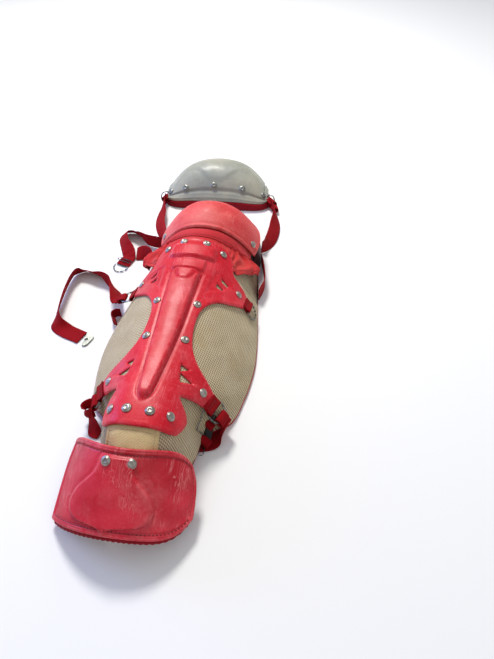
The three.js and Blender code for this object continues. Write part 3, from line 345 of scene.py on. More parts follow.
def blend(tree, fac, a, b, mode="MIX"):
    item = node(tree, "ShaderNodeMix", data_type="RGBA", blend_type=mode)
    for key, value in (("Factor", fac), ("A", a), ("B", b)):
        socket = next(s for s in item.inputs if s.name == key and s.type in
                      (("VALUE",) if key == "Factor" else ("RGBA",)))
        if isinstance(value, bpy.types.NodeSocket):
            tree.links.new(value, socket)
        else:
            socket.default_value = (*value, 1) if isinstance(value, tuple) else value
    return next(s for s in item.outputs if s.type == "RGBA")


def math_node(tree, operation, a, b=0.0):
    return node(tree, "ShaderNodeMath", {0: a, 1: b}, operation=operation).outputs[0]


def times(tree, a, b):
    return math_node(tree, "MULTIPLY", a, b)


def pointiness(tree, stops):
    """How far a place sticks out (over 0.5) or lies in a crease (under 0.5), through a ramp."""
    return ramp(tree, node(tree, "ShaderNodeNewGeometry").outputs["Pointiness"], stops)


def start(name):
    material = bpy.data.materials.new(name)
    material.use_nodes = True
    tree = material.node_tree
    shader = tree.nodes["Principled BSDF"]
    coords = node(tree, "ShaderNodeTexCoord")
    return material, tree, shader, coords.outputs["Object"], coords.outputs["UV"]


def bumped(tree, shader, *layers):
    """Bump from (height socket, distance in metres, strength) layers, one on another."""
    last = None
    for height, distance, strength in layers:
        inputs = {"Height": height, "Distance": distance, "Strength": strength}
        if last:
            inputs["Normal"] = last
        last = node(tree, "ShaderNodeBump", inputs).outputs["Normal"]
    tree.links.new(last, shader.inputs["Normal"])


def scratches(tree, vector, scale, angle, width):
    """Thin marks that run one way, broken up by noise; 1 on a mark."""
    inputs = {"Vector": vector, "Rotation": (0.2, 0.4, angle), "Scale": (1, 0.06, 0.3)}
    turned = node(tree, "ShaderNodeMapping", inputs).outputs[0]
    field = noise(tree, turned, scale, 2, 0.5)
    line = math_node(tree, "ABSOLUTE", math_node(tree, "SUBTRACT", field, 0.5))
    return ramp(tree, line, grey((0, 1), (width, 0)))


# Sets of scratches: scale, angle, width
SCRATCH_SETS = [(150, 0.5, 0.012), (190, 2.0, 0.009), (120, 1.2, 0.008)]


def moulded(name, colour, second, scuff, roughness, wear, scuffs, coat, speckle):
    """Moulded plastic: cloudy colour, painted shade in its creases, rubbed edges, fine scratches and a
    slightly pebbled gloss.
    """
    material, tree, shader, obj, _ = start(name)
    cloud = noise(tree, obj, 14, 5, 0.6)
    base = blend(tree, ramp(tree, cloud, grey((0.38, 0), (0.64, 1))), colour, second)
    fine = noise(tree, obj, 420, 3)
    base = blend(tree, ramp(tree, fine, grey((0.5, 0), (0.72, speckle))), base, scuff)
    # Painted shade: creases are darkened towards a third of the plastic's own colour.
    crease_shade = pointiness(tree, grey((0.42, 0.6), (0.49, 0)))
    base = blend(tree, crease_shade, base, tuple(0.3 * c for c in colour))
    edge = pointiness(tree, grey((0.51, 0), (0.6, 1)))
    patch = ramp(tree, noise(tree, obj, 60, 6, 0.7), grey((0.42, 0), (0.62, 1)))
    worn = times(tree, times(tree, edge, patch), wear)
    base = blend(tree, worn, base, scuff)
    marks = None
    for scale, angle, width in SCRATCH_SETS:
        mark = scratches(tree, obj, scale, angle, width)
        marks = mark if marks is None else math_node(tree, "MAXIMUM", marks, mark)
    where = ramp(tree, noise(tree, obj, 22, 3, 0.6), grey((0.48, 0), (0.62, 1)))
    marks = times(tree, times(tree, marks, where), scuffs)
    base = blend(tree, marks, base, scuff)
    rubbed = ramp(tree, noise(tree, obj, 11, 3, 0.5, (1, 1.4, 1)), grey((0.46, 0), (0.66, 0.22)))
    base = blend(tree, times(tree, rubbed, patch), base, scuff)
    rough = ramp(tree, noise(tree, obj, 35, 5, 0.65),
                 grey((0.3, roughness - 0.08), (0.7, roughness + 0.12)))
    rough = math_node(tree, "ADD", rough, times(tree, worn, 0.25))
    feed(tree, shader, {"Base Color": base, "Roughness": rough, "Specular IOR Level": 0.3,
                        "Coat Weight": coat, "Coat Roughness": 0.16})
    pebbles = noise(tree, obj, 160, 4)
    grain = noise(tree, obj, 900, 2)
    bumped(tree, shader, (pebbles, 0.0006, 0.25), (grain, 0.0002, 0.3), (marks, 0.0003, 0.25))
    return material


def weave(tree, uv, pitch, turn):
    """Height of over and under threads at a pitch in metres, 0 to 1."""
    turned = node(tree, "ShaderNodeMapping", {"Vector": uv, "Rotation": (0, 0, turn)}).outputs[0]
    split = node(tree, "ShaderNodeSeparateXYZ", {"Vector": turned})
    k = 2 * math.pi / pitch
    sx = math_node(tree, "SINE", times(tree, split.outputs[0], k))
    sy = math_node(tree, "SINE", times(tree, split.outputs[1], k))
    return math_node(tree, "ADD", times(tree, times(tree, sx, sy), 0.5), 0.5)


def fabric(name, colour, second, thread, pitch, turn=0.0, dirt=None, gap_shade_strength=0.5, roughness=0.95,
           depth=0.0005, sheen=0.3):
    """Woven cloth: cloudy colour, fibres, painted shade between the threads and patches of dirt."""
    material, tree, shader, obj, uv = start(name)
    height = weave(tree, uv, pitch, turn)
    cloud = ramp(tree, noise(tree, obj, 18, 5, 0.6), grey((0.35, 0), (0.66, 1)))
    base = blend(tree, cloud, colour, second)
    fibre = ramp(tree, noise(tree, obj, 700, 3), grey((0.35, 0), (0.75, 1)))
    base = blend(tree, times(tree, fibre, 0.25), base, thread)
    # Painted shade: where the weave dips between threads, the colour goes towards the thread colour.
    gap_shade = ramp(tree, height, grey((0.25, 1), (0.62, 0)))
    base = blend(tree, times(tree, gap_shade, gap_shade_strength), base, thread)
    if dirt:
        spot = ramp(tree, noise(tree, obj, 30, 6, 0.7), grey((0.5, 0), (0.72, 1)))
        base = blend(tree, times(tree, spot, 0.55), base, dirt)
    feed(tree, shader, {"Base Color": base, "Roughness": roughness, "Specular IOR Level": 0.2,
                        "Sheen Weight": sheen, "Sheen Roughness": 0.6})
    bumped(tree, shader, (noise(tree, obj, 55, 4), 0.0025, 0.25), (height, depth, 0.7))
    return material


def steel(name, colour, roughness, spots):
    """Metal with grime in spots and painted shade in its crevices."""
    material, tree, shader, obj, _ = start(name)
    grime = ramp(tree, noise(tree, obj, 260, 5, 0.7), grey((0.45, 0), (0.7, 1)))
    base = blend(tree, times(tree, grime, 0.6), colour, spots)
    # Painted shade: crevices take the spots colour, as if shade fell in them.
    crevice_shade = pointiness(tree, grey((0.4, 1), (0.49, 0)))
    base = blend(tree, times(tree, crevice_shade, 0.85), base, spots)
    rough = ramp(tree, noise(tree, obj, 180, 4), grey((0.3, roughness - 0.06), (0.7, roughness + 0.16)))
    feed(tree, shader, {"Base Color": base, "Metallic": 1.0, "Roughness": rough})
    bumped(tree, shader, (noise(tree, obj, 600, 4), 0.0003, 0.3))
    return material


PLATE = moulded("plate_red", srgb(194, 0, 28), srgb(212, 12, 38), srgb(240, 120, 130),
                roughness=0.46, wear=0.5, scuffs=0.5, coat=0.06, speckle=0.18)
TOE = moulded("toe_red", srgb(182, 4, 30), srgb(212, 40, 60), srgb(238, 140, 142),
              roughness=0.44, wear=0.6, scuffs=0.75, coat=0.08, speckle=0.07)
KNEE = moulded("knee_red", srgb(204, 52, 56), srgb(216, 88, 86), srgb(232, 150, 140),
               roughness=0.56, wear=0.6, scuffs=0.4, coat=0.03, speckle=0.2)
GREY = moulded("thigh_grey", srgb(144, 148, 140), srgb(170, 167, 150), srgb(92, 88, 70),
               roughness=0.44, wear=0.3, scuffs=0.3, coat=0.06, speckle=0.16)
PLASTIC = moulded("black_plastic", srgb(26, 26, 28), srgb(36, 35, 34), srgb(90, 88, 84),
                  roughness=0.5, wear=0.2, scuffs=0.2, coat=0.0, speckle=0.1)
# The third colour of each cloth is its thread colour, which is also painted as shade between its threads.
MESH = fabric("beige_mesh", srgb(206, 188, 152), srgb(218, 202, 170), srgb(96, 82, 54), 0.0044,
              turn=0.9, dirt=srgb(168, 146, 106), gap_shade_strength=0.8, depth=0.0009, sheen=0.08)
CANVAS = fabric("canvas", srgb(214, 184, 132), srgb(226, 200, 150), srgb(136, 106, 66), 0.0022,
                turn=0.6, dirt=srgb(190, 126, 62), gap_shade_strength=0.45, sheen=0.08)
CLOTH = fabric("red_cloth", srgb(204, 34, 40), srgb(214, 66, 62), srgb(140, 12, 22), 0.0016,
               gap_shade_strength=0.3, roughness=0.9, depth=0.0003, sheen=0.1)
BAND = fabric("band_cloth", srgb(190, 24, 34), srgb(204, 50, 56), srgb(140, 14, 24), 0.0012,
              gap_shade_strength=0.2, roughness=0.85, depth=0.0002, sheen=0.1)
LINING = fabric("dark_lining", srgb(84, 20, 30), srgb(104, 24, 36), srgb(40, 8, 14), 0.002)
MAROON = fabric("maroon_padding", srgb(150, 14, 30), srgb(166, 22, 38), srgb(80, 4, 14), 0.002,
                sheen=0.05)
WEBBING = fabric("webbing", srgb(146, 0, 12), srgb(170, 4, 20), srgb(70, 0, 6), 0.0026,
                 turn=math.pi / 4, roughness=0.9, depth=0.0004, sheen=0.0)
PIPING = fabric("piping", srgb(190, 16, 34), srgb(204, 26, 44), srgb(110, 6, 16), 0.0018, sheen=0.05)
THREAD = fabric("thread", srgb(120, 10, 24), srgb(132, 14, 28), srgb(70, 4, 12), 0.001)
TAN_THREAD = fabric("tan_thread", srgb(176, 140, 92), srgb(190, 156, 108), srgb(110, 82, 50), 0.001)
# The last colour is the grime in spots and also the painted shade in crevices.
STEEL = steel("steel", (0.26, 0.255, 0.24), 0.3, (0.05, 0.045, 0.04))
RIVET = steel("rivet_steel", (0.4, 0.37, 0.33), 0.34, (0.05, 0.04, 0.03))
PAINTED = steel("painted_rivet", (0.3, 0.31, 0.28), 0.42, (0.05, 0.05, 0.04))
DARK = steel("dark_steel", (0.08, 0.08, 0.09), 0.4, (0.2, 0.19, 0.17))


# The shin's surface: at, half, crown, power, lift
PAD_ROWS = [
    (0.0, 0.40, 0.85, 3.2, 1), (0.038, 0.47, 0.93, 3.3, 1), (0.075, 0.52, 0.975, 3.4, 1),
    (0.112, 0.545, 0.99, 3.4, 1), (0.15, 0.555, 0.99, 3.3, 1), (0.182, 0.59, 0.985, 3.1, 0.9),
    (0.21, 0.7, 0.978, 2.6, 0.4), (0.25, 0.85, 0.965, 2.15, 0), (0.35, 0.945, 0.945, 1.95, 0),
    (0.412, 0.98, 0.935, 1.93, 0), (0.488, 1.0, 0.94, 1.95, 0), (0.562, 0.99, 0.96, 2.0, 0),
    (0.638, 0.965, 0.97, 2.0, 0), (0.738, 0.92, 0.975, 1.98, 0), (0.862, 0.865, 0.985, 2.15, 0),
    (0.955, 0.83, 0.99, 2.2, 0), (1.0, 0.80, 0.985, 2.2, 0),
]


def pad_section(y):
    at = (np.asarray(y, float) - PAD_FOOT) / (PAD_TOP - PAD_FOOT)
    return (read(PAD_ROWS, at, 1) * PAD_HALF, read(PAD_ROWS, at, 2) * PAD_HEIGHT,
            read(PAD_ROWS, at, 3), BINDING_HEIGHT + read(PAD_ROWS, at, 4) * ANKLE_LIFT)


def shin_height(x, y):
    half, crown, power, edge = pad_section(y)
    t = np.minimum(np.abs(x) / half, 1)
    return edge + (crown - edge) * (1 - t**power)


def shin(x, y):
    return stack(x, y, shin_height(x, y))


def shin_normal(x, y):
    d = 0.5
    return unit(np.cross(shin(x + d, y) - shin(x - d, y), shin(x, y + d) - shin(x, y - d)))


def plate_point(x, y, lift):
    return shin(x, y) + shin_normal(x, y) * np.asarray(lift)[..., None]


def shin_frame(x, y, heading, lift):
    """Rotation (columns: tangent, side, normal) and origin at a place on the shin."""
    d = 0.5
    along = shin(x, y + d) - shin(x, y - d)
    across = shin(x + d, y) - shin(x - d, y)
    normal = unit(np.cross(across, along))
    tangent = unit(across * heading[0] + along * heading[1])
    turn = np.stack([tangent, unit(np.cross(normal, tangent)), normal], 1)
    return turn, shin(x, y) + normal * lift


def rounded(v):
    """A sine or cosine pushed out towards a square's side."""
    return np.sign(v) * np.abs(v) ** 0.6


def tuck(y):
    room = CLOTH_WALL + SEAT + 2.5 * GAP
    return room * np.maximum(ease(HEM_Y - 8, HEM_Y - 2, y), 1 - ease(TAB_Y + 2, TAB_Y + 8, y))


def pad_point(u, y, depth, puff=0.0):
    half, _, _, edge = pad_section(y)
    x = half * u
    d = 0.01
    ahead = half * np.minimum(u + d, 1)
    behind = half * np.maximum(u - d, -1)
    run = shin(ahead, y) - shin(behind, y)
    normal = unit(stack(-run[..., 2], 0, run[..., 0]))
    a = np.abs(u)
    lobe = between(a, 0.45, 0.7, 0.93, 1)
    give = tuck(y) + CREASE_DEPTH * lobe * bump(y, mix(PAD_FOOT, PAD_TOP, 0.215), 12)
    point = shin(x, y) + normal * np.asarray(puff - depth)[..., None]
    point[..., 2] = np.where(a >= 0.999, edge, np.maximum(point[..., 2] - give, edge))
    return point


def build_pad():
    u = np.sin(np.linspace(-1, 1, 141) * math.pi / 2)
    u, y = np.meshgrid(u, np.linspace(PAD_FOOT, PAD_TOP, 190))
    x = u * pad_section(y)[0]
    free = between(np.abs(u), 0.42, 0.62, 0.9, 0.99)
    puff = free * (1.1 * ripple(x, y, 70, 3) + 0.5 * ripple(x, y, 26, 4))
    outer = pad_point(u, y, 0, puff)
    inner = pad_point(u, y, PAD_WALL)
    flat = np.stack([lengths(outer, 1), outer[..., 1] / 1000], -1)
    pad = slab("pad_cover", outer, inner, MESH, uv=flat, replaces=["shin_pad"], slot="mesh")
    rows = np.linspace(PAD_FOOT, PAD_TOP, 130)
    angle = np.linspace(0, 2 * math.pi, 16, endpoint=False)
    reach = PAD_WALL / 2 - BINDING_INSET + 1
    rise = (BINDING_HEIGHT - GAP) / 2
    for side, name in ((-1, "left"), (1, "right")):
        edge = pad_point(np.full_like(rows, side), rows, 0)
        inside = pad_point(np.full_like(rows, side), rows, PAD_WALL)
        middle = (edge + inside) / 2
        middle[:, 2] = edge[:, 2] - BINDING_HEIGHT / 2 - GAP / 2
        section = stack(reach * rounded(np.cos(angle)), 0, rise * rounded(np.sin(angle)))
        loft(f"binding_{name}", middle[:, None] + section, PIPING,
             replaces=[f"pad_binding_{name}"], slot="webbing")


# Shin plate: runs of the right half's outline as along and out, with corners where they meet
PLATE_RUNS = [
    [(1.0, 0), (0.999, 0.31), (0.985, 0.54), (0.955, 0.66), (0.91, 0.7)],
    [(0.91, 0.7), (0.875, 0.74), (0.862, 0.82), (0.838, 0.965)],
    [(0.838, 0.965), (0.82, 1.0), (0.78, 1.005), (0.745, 0.995), (0.733, 0.955)],
    [(0.733, 0.955), (0.696, 0.8), (0.657, 0.6), (0.606, 0.455), (0.55, 0.385), (0.478, 0.373),
     (0.418, 0.4), (0.364, 0.458), (0.313, 0.578), (0.278, 0.72), (0.25, 0.83)],
    [(0.25, 0.83), (0.24, 0.855), (0.215, 0.815), (0.19, 0.77), (0.182, 0.73)],
    [(0.182, 0.73), (0.176, 0.63), (0.16, 0.47), (0.154, 0.448), (0.148, 0.452)],
    [(0.148, 0.452), (0.137, 0.48), (0.116, 0.54), (0.09, 0.572), (0.054, 0.55), (0.022, 0.5)],
    [(0.022, 0.5), (0.008, 0.4), (0.001, 0.18), (0.0, 0)],
]
# Vents of the right half, as corners in along and out
PLATE_VENTS = [
    [(0.812, 0.575), (0.795, 0.7), (0.782, 0.69), (0.79, 0.59)],
    [(0.765, 0.53), (0.752, 0.64), (0.739, 0.625), (0.743, 0.53)],
    [(0.29, 0.35), (0.281, 0.47), (0.262, 0.365)],
    [(0.252, 0.375), (0.23, 0.56), (0.212, 0.4)],
]
# The ridge's half width: along, share of RIDGE_HALF
RIDGE_ROWS = [(0.09, 0.0), (0.105, 0.22), (0.14, 0.42), (0.2, 0.5), (0.48, 0.8), (0.76, 1.0), (0.8, 1.05)]

# Where the forms rise and fall along the plate: up from, up to, down from, down to
RIDGE_SPAN = (0.09, 0.125, 0.765, 0.785)
BOSS_SPAN = (0.7, 0.715, 0.775, 0.785)
BOSS_RING_SPAN = (0.7, 0.73, 0.77, 0.785)


def plate_xy(pairs):
    """Places in millimetres from pairs of along and out."""
    return [(out * PLATE_HALF, (along - PLATE_ANCHOR) * PLATE_LENGTH) for along, out in pairs]


def spline(points, per_span):
    """Points on a smooth curve through the given ones."""
    p = np.asarray(points, float)
    out = []
    for i in range(len(p) - 1):
        a, b, c, d = p[max(i - 1, 0)], p[i], p[i + 1], p[min(i + 2, len(p) - 1)]
        for t in np.linspace(0, 1, per_span, endpoint=False):
            out.append(0.5 * (2 * b + (c - a) * t + (2 * a - 5 * b + 4 * c - d) * t**2
                              + (3 * b - a - 3 * c + d) * t**3))
    out.append(p[-1])
    return np.array(out)


def relief(x, y):
    """Height of the plate's moulded forms over its plain surface."""
    at = (y - PLATE_FOOT) / PLATE_LENGTH
    out = np.abs(x)
    half = np.maximum(read(RIDGE_ROWS, np.minimum(at, 0.8), 1) * RIDGE_HALF, 0.5)
    run = between(at, *RIDGE_SPAN)
    ridge = (RIDGE_RISE + 1) * run * (1 - ease(half * 0.76, half * 1.0, out))
    groove = -0.26 * RIDGE_RISE * run * bump(out, half * 1.12, 2.2)
    brow_half = 1.75 * RIDGE_HALF
    brow = (BROW_RISE * ease(0.862, 0.872, at - 0.012 * (out / brow_half) ** 2)
            * (1 - ease(0.93, 0.98, at)) * (1 - ease(brow_half * 0.72, brow_half * 1.05, out)))
    crescent_top = 0.848 + 0.012 * (out / RIDGE_HALF) ** 2
    crescent = (0.8 * BOSS_RISE * (1 - ease(RIDGE_HALF, RIDGE_HALF * 1.15, out))
                * ease(0.782, 0.794, at) * (1 - ease(crescent_top - 0.01, crescent_top, at)))
    boss_half = 0.65 * RIDGE_HALF * np.sqrt(np.clip((at - 0.7) / 0.07, 0, 1))
    boss = BOSS_RISE * between(at, *BOSS_SPAN) * (1 - ease(boss_half * 0.7, boss_half + 1, out))
    moat = -2.0 * bump(at, 0.777, 0.006) * (1 - ease(RIDGE_HALF * 0.9, RIDGE_HALF * 1.1, out))
    ring_boss = -1.4 * bump(out, boss_half + 2.6, 1.6) * between(at, *BOSS_RING_SPAN)
    sunk = wing_recess(x, y)
    border = 0.9 * ease(0.0, 1.0, sunk) * (1 - sunk)
    return (np.maximum(np.maximum(ridge, brow), crescent) + boss * (1 - run) * 0.6 + 0.35 * boss * run
            + groove + moat + ring_boss - WING_RECESS * sunk + border)


# Sunk triangles in the wings, as corners in along and out
WING_SINKS = [
    [(0.84, 0.42), (0.655, 0.36), (0.79, 0.8), (0.826, 0.72)],
    [(0.365, 0.3), (0.205, 0.335), (0.235, 0.69)],
]


def inside_by(points, corners, soft):
    """How deep points lie inside a convex outline, eased from 0 at its edge to 1."""
    c = np.asarray(corners, float)
    area = np.sum(c[:, 0] * np.roll(c[:, 1], -1) - np.roll(c[:, 0], -1) * c[:, 1])
    if area < 0:
        c = c[::-1]
    depth = np.full(points.shape[:-1], 1e9)
    for a, b in zip(c, np.roll(c, -1, 0)):
        edge = (b - a) / np.linalg.norm(b - a)
        depth = np.minimum(depth, edge[0] * (points[..., 1] - a[1]) - edge[1] * (points[..., 0] - a[0]))
    return ease(0, soft, depth)


def wing_recess(x, y):
    points = np.stack(np.broadcast_arrays(np.abs(x), y), -1).astype(float)
    total = 0
    for corners in WING_SINKS:
        total = np.maximum(total, inside_by(points, plate_xy(corners), 3.5))
    return total


def plate_loops():
    """The closed outlines of the plate and of its vents."""
    half = [point for points in PLATE_RUNS for point in spline(plate_xy(points), 7)[:-1]]
    half = np.array([*half, (0.0, PLATE_FOOT)])
    loops = [np.concatenate([half, half[1:-1][::-1] * [-1, 1]])]
    for side in (-1, 1):
        for vent in PLATE_VENTS:
            corners = np.array(plate_xy(vent)) * [side, 1]
            spans = zip(corners, np.roll(corners, -1, 0))
            loops.append(np.concatenate([np.linspace(a, b, 8, endpoint=False) for a, b in spans]))
    return loops


def plate_flat(loops, distance):
    """Points and triangles that fill the plate's outline and leave its vents open."""
    edges, inset, base = [], [], 0
    for loop in loops:
        edges.extend([(base + i, base + (i + 1) % len(loop)) for i in range(len(loop))])
        base += len(loop)
        tangent = unit(np.roll(loop, -1, 0) - np.roll(loop, 1, 0))
        normal = np.stack([-tangent[:, 1], tangent[:, 0]], -1)
        for amount in (0.45, 1.1):
            inset.extend([loop + amount * normal, loop - amount * normal])
    inset = np.concatenate(inset)
    step = 1.9
    gx, gy = np.meshgrid(np.arange(-90, 90.1, step), np.arange(PLATE_FOOT, PLATE_TOP, step))
    gx = gx + (np.arange(gx.shape[0]) % 2)[:, None] * step / 2
    grid = np.stack([gx.ravel(), gy.ravel()], -1)
    cloud = np.concatenate([*loops, inset[distance(inset) > 0.3], grid[distance(grid) > 1.6]])
    result = delaunay_2d_cdt([Vector(p) for p in cloud], edges, [], 0, 1e-4)
    flat = np.array([list(v) for v in result[0]])
    tris = np.array([t for t in result[2] if len(t) == 3])
    centres = flat[tris].mean(1)
    keep = winding(centres, loops[0])
    for loop in loops[1:]:
        keep &= ~winding(centres, loop)
    used, tris = np.unique(tris[keep], return_inverse=True)
    return flat[used], tris.reshape(-1, 3)


def build_plate():
    loops = plate_loops()
    starts = np.concatenate(loops)
    ends = np.concatenate([np.roll(loop, -1, 0) for loop in loops])

    def distance(points):
        best = np.full(len(points), 1e9)
        for a, b in zip(starts, ends):
            ab = b - a
            t = np.clip(((points - a) @ ab) / (ab @ ab), 0, 1)
            best = np.minimum(best, np.linalg.norm(points - a - t[:, None] * ab, axis=1))
        return best

    flat, tris = plate_flat(loops, distance)
    edge = distance(flat)
    x, y = flat[:, 0], flat[:, 1]
    radius = 1.6
    fall = radius - np.sqrt(np.maximum(radius**2 - np.maximum(radius - edge, 0) ** 2, 0))
    rolled = 0.55 * bump(edge, 3.4, 1.6)
    top = plate_point(x, y, SEAT + PLATE_WALL + relief(x, y) - fall + rolled)
    bottom = plate_point(x, y, SEAT)
    count = len(flat)
    faces = [tuple(t) for t in tris] + [(a + count, c + count, b + count) for a, b, c in tris]
    sides = [pair for a, b, c in tris for pair in ((a, b), (b, c), (c, a))]
    known = set(sides)
    faces += [(q, p, p + count, q + count) for p, q in sides if (q, p) not in known]
    obj = make("plate_shell", np.concatenate([top, bottom]), faces, PLATE, replaces=["shin_plate"],
               slot="plate", uv=np.concatenate([flat, flat]) / 1000)
    face_out(obj)


def winding(points, loop):
    """Whether points lie inside a closed outline."""
    inside = np.zeros(len(points), bool)
    for a, b in zip(loop, np.roll(loop, -1, 0)):
        cross = (a[1] > points[:, 1]) != (b[1] > points[:, 1])
        with np.errstate(divide="ignore", invalid="ignore"):
            x = (b[0] - a[0]) * (points[:, 1] - a[1]) / (b[1] - a[1]) + a[0]
        inside ^= cross & (points[:, 0] < x)
    return inside


def offset_surface(surface, u, v, distance):
    d = 0.004
    across = surface(u + d, v) - surface(u - d, v)
    along = surface(u, v + d) - surface(u, v - d)
    normal = unit(np.cross(across, along))
    normal = np.where(normal[..., 2:] < 0, -normal, normal)
    return surface(u, v) + normal * np.asarray(distance)[..., None]


# Knee: along, half width, crown
KNEE_ROWS = [
    (0.0, 0.95, 0.92), (0.14, 0.985, 0.968), (0.3, 1.0, 1.0), (0.5, 0.965, 0.965),
    (0.65, 0.885, 0.87), (0.8, 0.74, 0.72), (0.92, 0.56, 0.57), (1.0, 0.38, 0.46),
]
KNEE_POWER = 2.3
KNEE_PAD_START = 0.17


def knee(u, v):
    half = read(KNEE_ROWS, v, 1) * KNEE_HALF
    crown = read(KNEE_ROWS, v, 2) * KNEE_HEIGHT
    bow = KNEE_BOW * (1 - np.clip(v, 0, 1)) * u * u
    z = KNEE_EDGE + (crown - KNEE_EDGE) * (1 - np.abs(u) ** KNEE_POWER)
    return stack(KNEE_SHIFT + half * u, KNEE_NEAR + v * KNEE_LENGTH + bow, z)


def build_knee():
    u, v = patch(121, 100)
    a = np.abs(u)
    edge = np.minimum(v * KNEE_LENGTH, (1 - a) * KNEE_HALF * 1.4)
    fall = 1.5 * (1 - ease(0, 1.8, edge))
    lip = 0.9 * bump(edge, 2.4, 1.6) - 0.5 * bump(edge, 6.5, 2.2)
    dents = -3.2 * bump(u, 0.3, 0.13) * bump(v, 0.34, 0.1)
    dents = dents - 2.2 * bump(u, -0.36, 0.16) * bump(v, 0.3, 0.1)
    dents = dents + 1.6 * bump(u, -0.02, 0.16) * bump(v, 0.26, 0.12)
    dents = dents + 0.35 * ripple(u * 80, v * 120, 42, 8)
    lift = -fall + lip + dents * ease(3, 12, edge)
    outer = offset_surface(knee, u, v, lift)
    inner = offset_surface(knee, u, v, -KNEE_WALL)
    slab("knee_shell", outer, inner, KNEE, replaces=["knee_cap"], slot="knee_shell")

    u, v = np.meshgrid(np.linspace(-1, 1, 81), np.linspace(KNEE_PAD_START, 1, 90))
    end = np.clip(1 - np.minimum(v - KNEE_PAD_START, 1 - v) * KNEE_LENGTH / 6, 0, 1)
    rolled = 0.42 * KNEE_PAD_WALL * (1 - np.sqrt(1 - end**2))
    sheets = []
    for depth in (KNEE_WALL + GAP + rolled, KNEE_WALL + GAP + KNEE_PAD_WALL - rolled):
        top = offset_surface(knee, u, v, -depth)
        walls = []
        for side, column in ((-1, top[:, :1]), (1, top[:, -1:])):
            steps = np.linspace(0, 1, 12)[None, 1:, None]
            foot = column + [side * KNEE_PAD_FLARE, 0, 0]
            foot[..., 2] = 0.2
            bulge = side * 1.5 * np.sin(steps * math.pi) * [1, 0, 0]
            walls.append(column + (foot - column) * steps + bulge)
        sheets.append(np.concatenate([walls[0][:, ::-1], top, walls[1]], 1))
    pad = slab("knee_padding", sheets[0], sheets[1], LINING, replaces=["knee_pad"], slot="lining")


# Where the band begins, as a share of the gathered cloth from its hem
FLEX_BAND = 0.6


def flex_point(u, v, lift):
    bow = KNEE_BOW * u * u
    a = np.abs(u)
    rise = np.where(u < 0, 0.62, 0.8) * ease(0.6, 1, a) + 0.16 * ease(0.86, 1, a)
    hem = HEM_Y + (KNEE_NEAR - HEM_Y) * rise
    band = np.maximum(KNEE_NEAR - BAND_WIDTH + bow, hem + 2)
    y = np.where(v < FLEX_BAND, mix(hem, band, v / FLEX_BAND),
                 mix(band, KNEE_NEAR + FLEX_TUCK + bow, (v - FLEX_BAND) / (1 - FLEX_BAND)))
    on_shin = np.minimum(y, PAD_TOP)
    half = pad_section(on_shin)[0]

    def cloth(x):
        p = plate_point(x, on_shin, SEAT)
        p[..., 2] -= tuck(on_shin)
        return p

    flare = (FLEX_FLARE + 4) * ease(0.6, 0.86, a) * (1 - 0.85 * ease(0.82, 1, a)) * (1 - ease(0.4, 1, v))
    on_pad = cloth(0.99 * half * u) + stack(u, 0, 0.35) * flare[..., None]
    share = np.maximum(y - KNEE_NEAR - bow, 0) / KNEE_LENGTH
    under = offset_surface(knee, u * 0.97, share, -KNEE_WALL - 2 * SEAT - CLOTH_WALL)
    lifted = ease(PLATE_TOP + 2, KNEE_NEAR - 4, y - bow)
    fold = 0.5 + 0.5 * np.cos(a * 70 + 1.8 * np.sin(y / 7 + u * 3) + np.sin(a * 23) * 1.6)
    ruffle = 1.8 * FLEX_RUFFLE * ease(0.42, 0.62, a) * (1 - ease(0.5, 0.72, v)) * fold
    ruffle = ruffle * (1 - ease(0.84, 0.98, a))
    puff = 3.6 * ease(0.5, 0.8, a) * (1 - 0.7 * ease(0.88, 1, a))
    ruffle = ruffle + puff * np.sin(np.clip(v / 0.62, 0, 1) * math.pi) ** 0.7
    x = mix(on_pad[..., 0], under[..., 0], lifted)
    z = mix(on_pad[..., 2], under[..., 2], lifted)
    clear = cloth(np.sign(u) * np.minimum(np.abs(x), 0.97 * half))[..., 2]
    z = np.maximum(z, clear + GAP)
    wrinkle = 0.7 * ripple(u * 90, y, 13, 11) * (1 - ease(0.5, 0.62, v)) * ease(0.1, 0.4, a)
    wrinkle = wrinkle * (1 - ease(0.84, 0.95, a))
    outward = unit(stack(u * a, 0, 1 - 0.5 * u * u))
    return stack(x, y, z) + outward * (lift + ruffle + wrinkle)[..., None]


def flex_thread(line):
    """Places of thread on the gathered cloth, from rows of u, v and lift."""
    return flex_point(line[:, 0], line[:, 1], line[:, 2])


def build_flex():
    u, v = np.meshgrid(np.linspace(-1, 1, 261), np.linspace(0, 1, 60))
    cloth = slab("flex_cloth", flex_point(u, v, CLOTH_WALL), flex_point(u, v, 0), CLOTH,
                 replaces=["knee_flex"], slot="cloth")
    end = FLEX_BAND + (1 - FLEX_BAND) * (BAND_WIDTH - 1) / (BAND_WIDTH + FLEX_TUCK)
    u, v = np.meshgrid(np.linspace(-0.88, 0.88, 181), np.linspace(FLEX_BAND - 0.03, end, 24))
    across = (v - FLEX_BAND) / (end - FLEX_BAND)
    roll = 0.8 * np.sin(np.clip(across, 0, 1) * math.pi) ** 0.5
    band_face = 1.6 * CLOTH_WALL + GAP
    outer = flex_point(u, v, band_face + roll)
    inner = flex_point(u, v, CLOTH_WALL + GAP)
    band = slab("flex_band", outer, inner, BAND, replaces=["knee_band"], slot="cloth")
    hem_u = np.linspace(-1, 1, 300)
    hem = flex_point(hem_u, np.full_like(hem_u, 0.01), CLOTH_WALL * 0.55)
    seam = tube("flex_hem", hem, 1.5, CLOTH, 8, slot="cloth")
    for name, v, lift, reach in (("flex_stitch", 0.09, CLOTH_WALL + 0.15, 0.95),
                                 ("band_stitch", FLEX_BAND + 0.02, band_face + 0.5, 0.86)):
        line = stack(np.linspace(-reach, reach, 90), v, lift)
        stitches(name, flex_thread, line, 3.4, 0.38, 0.65)


# Thigh: rough lengths along v and along half of u, for distances from the dome's edge
THIGH_RUN, THIGH_SPREAD = 90, 120


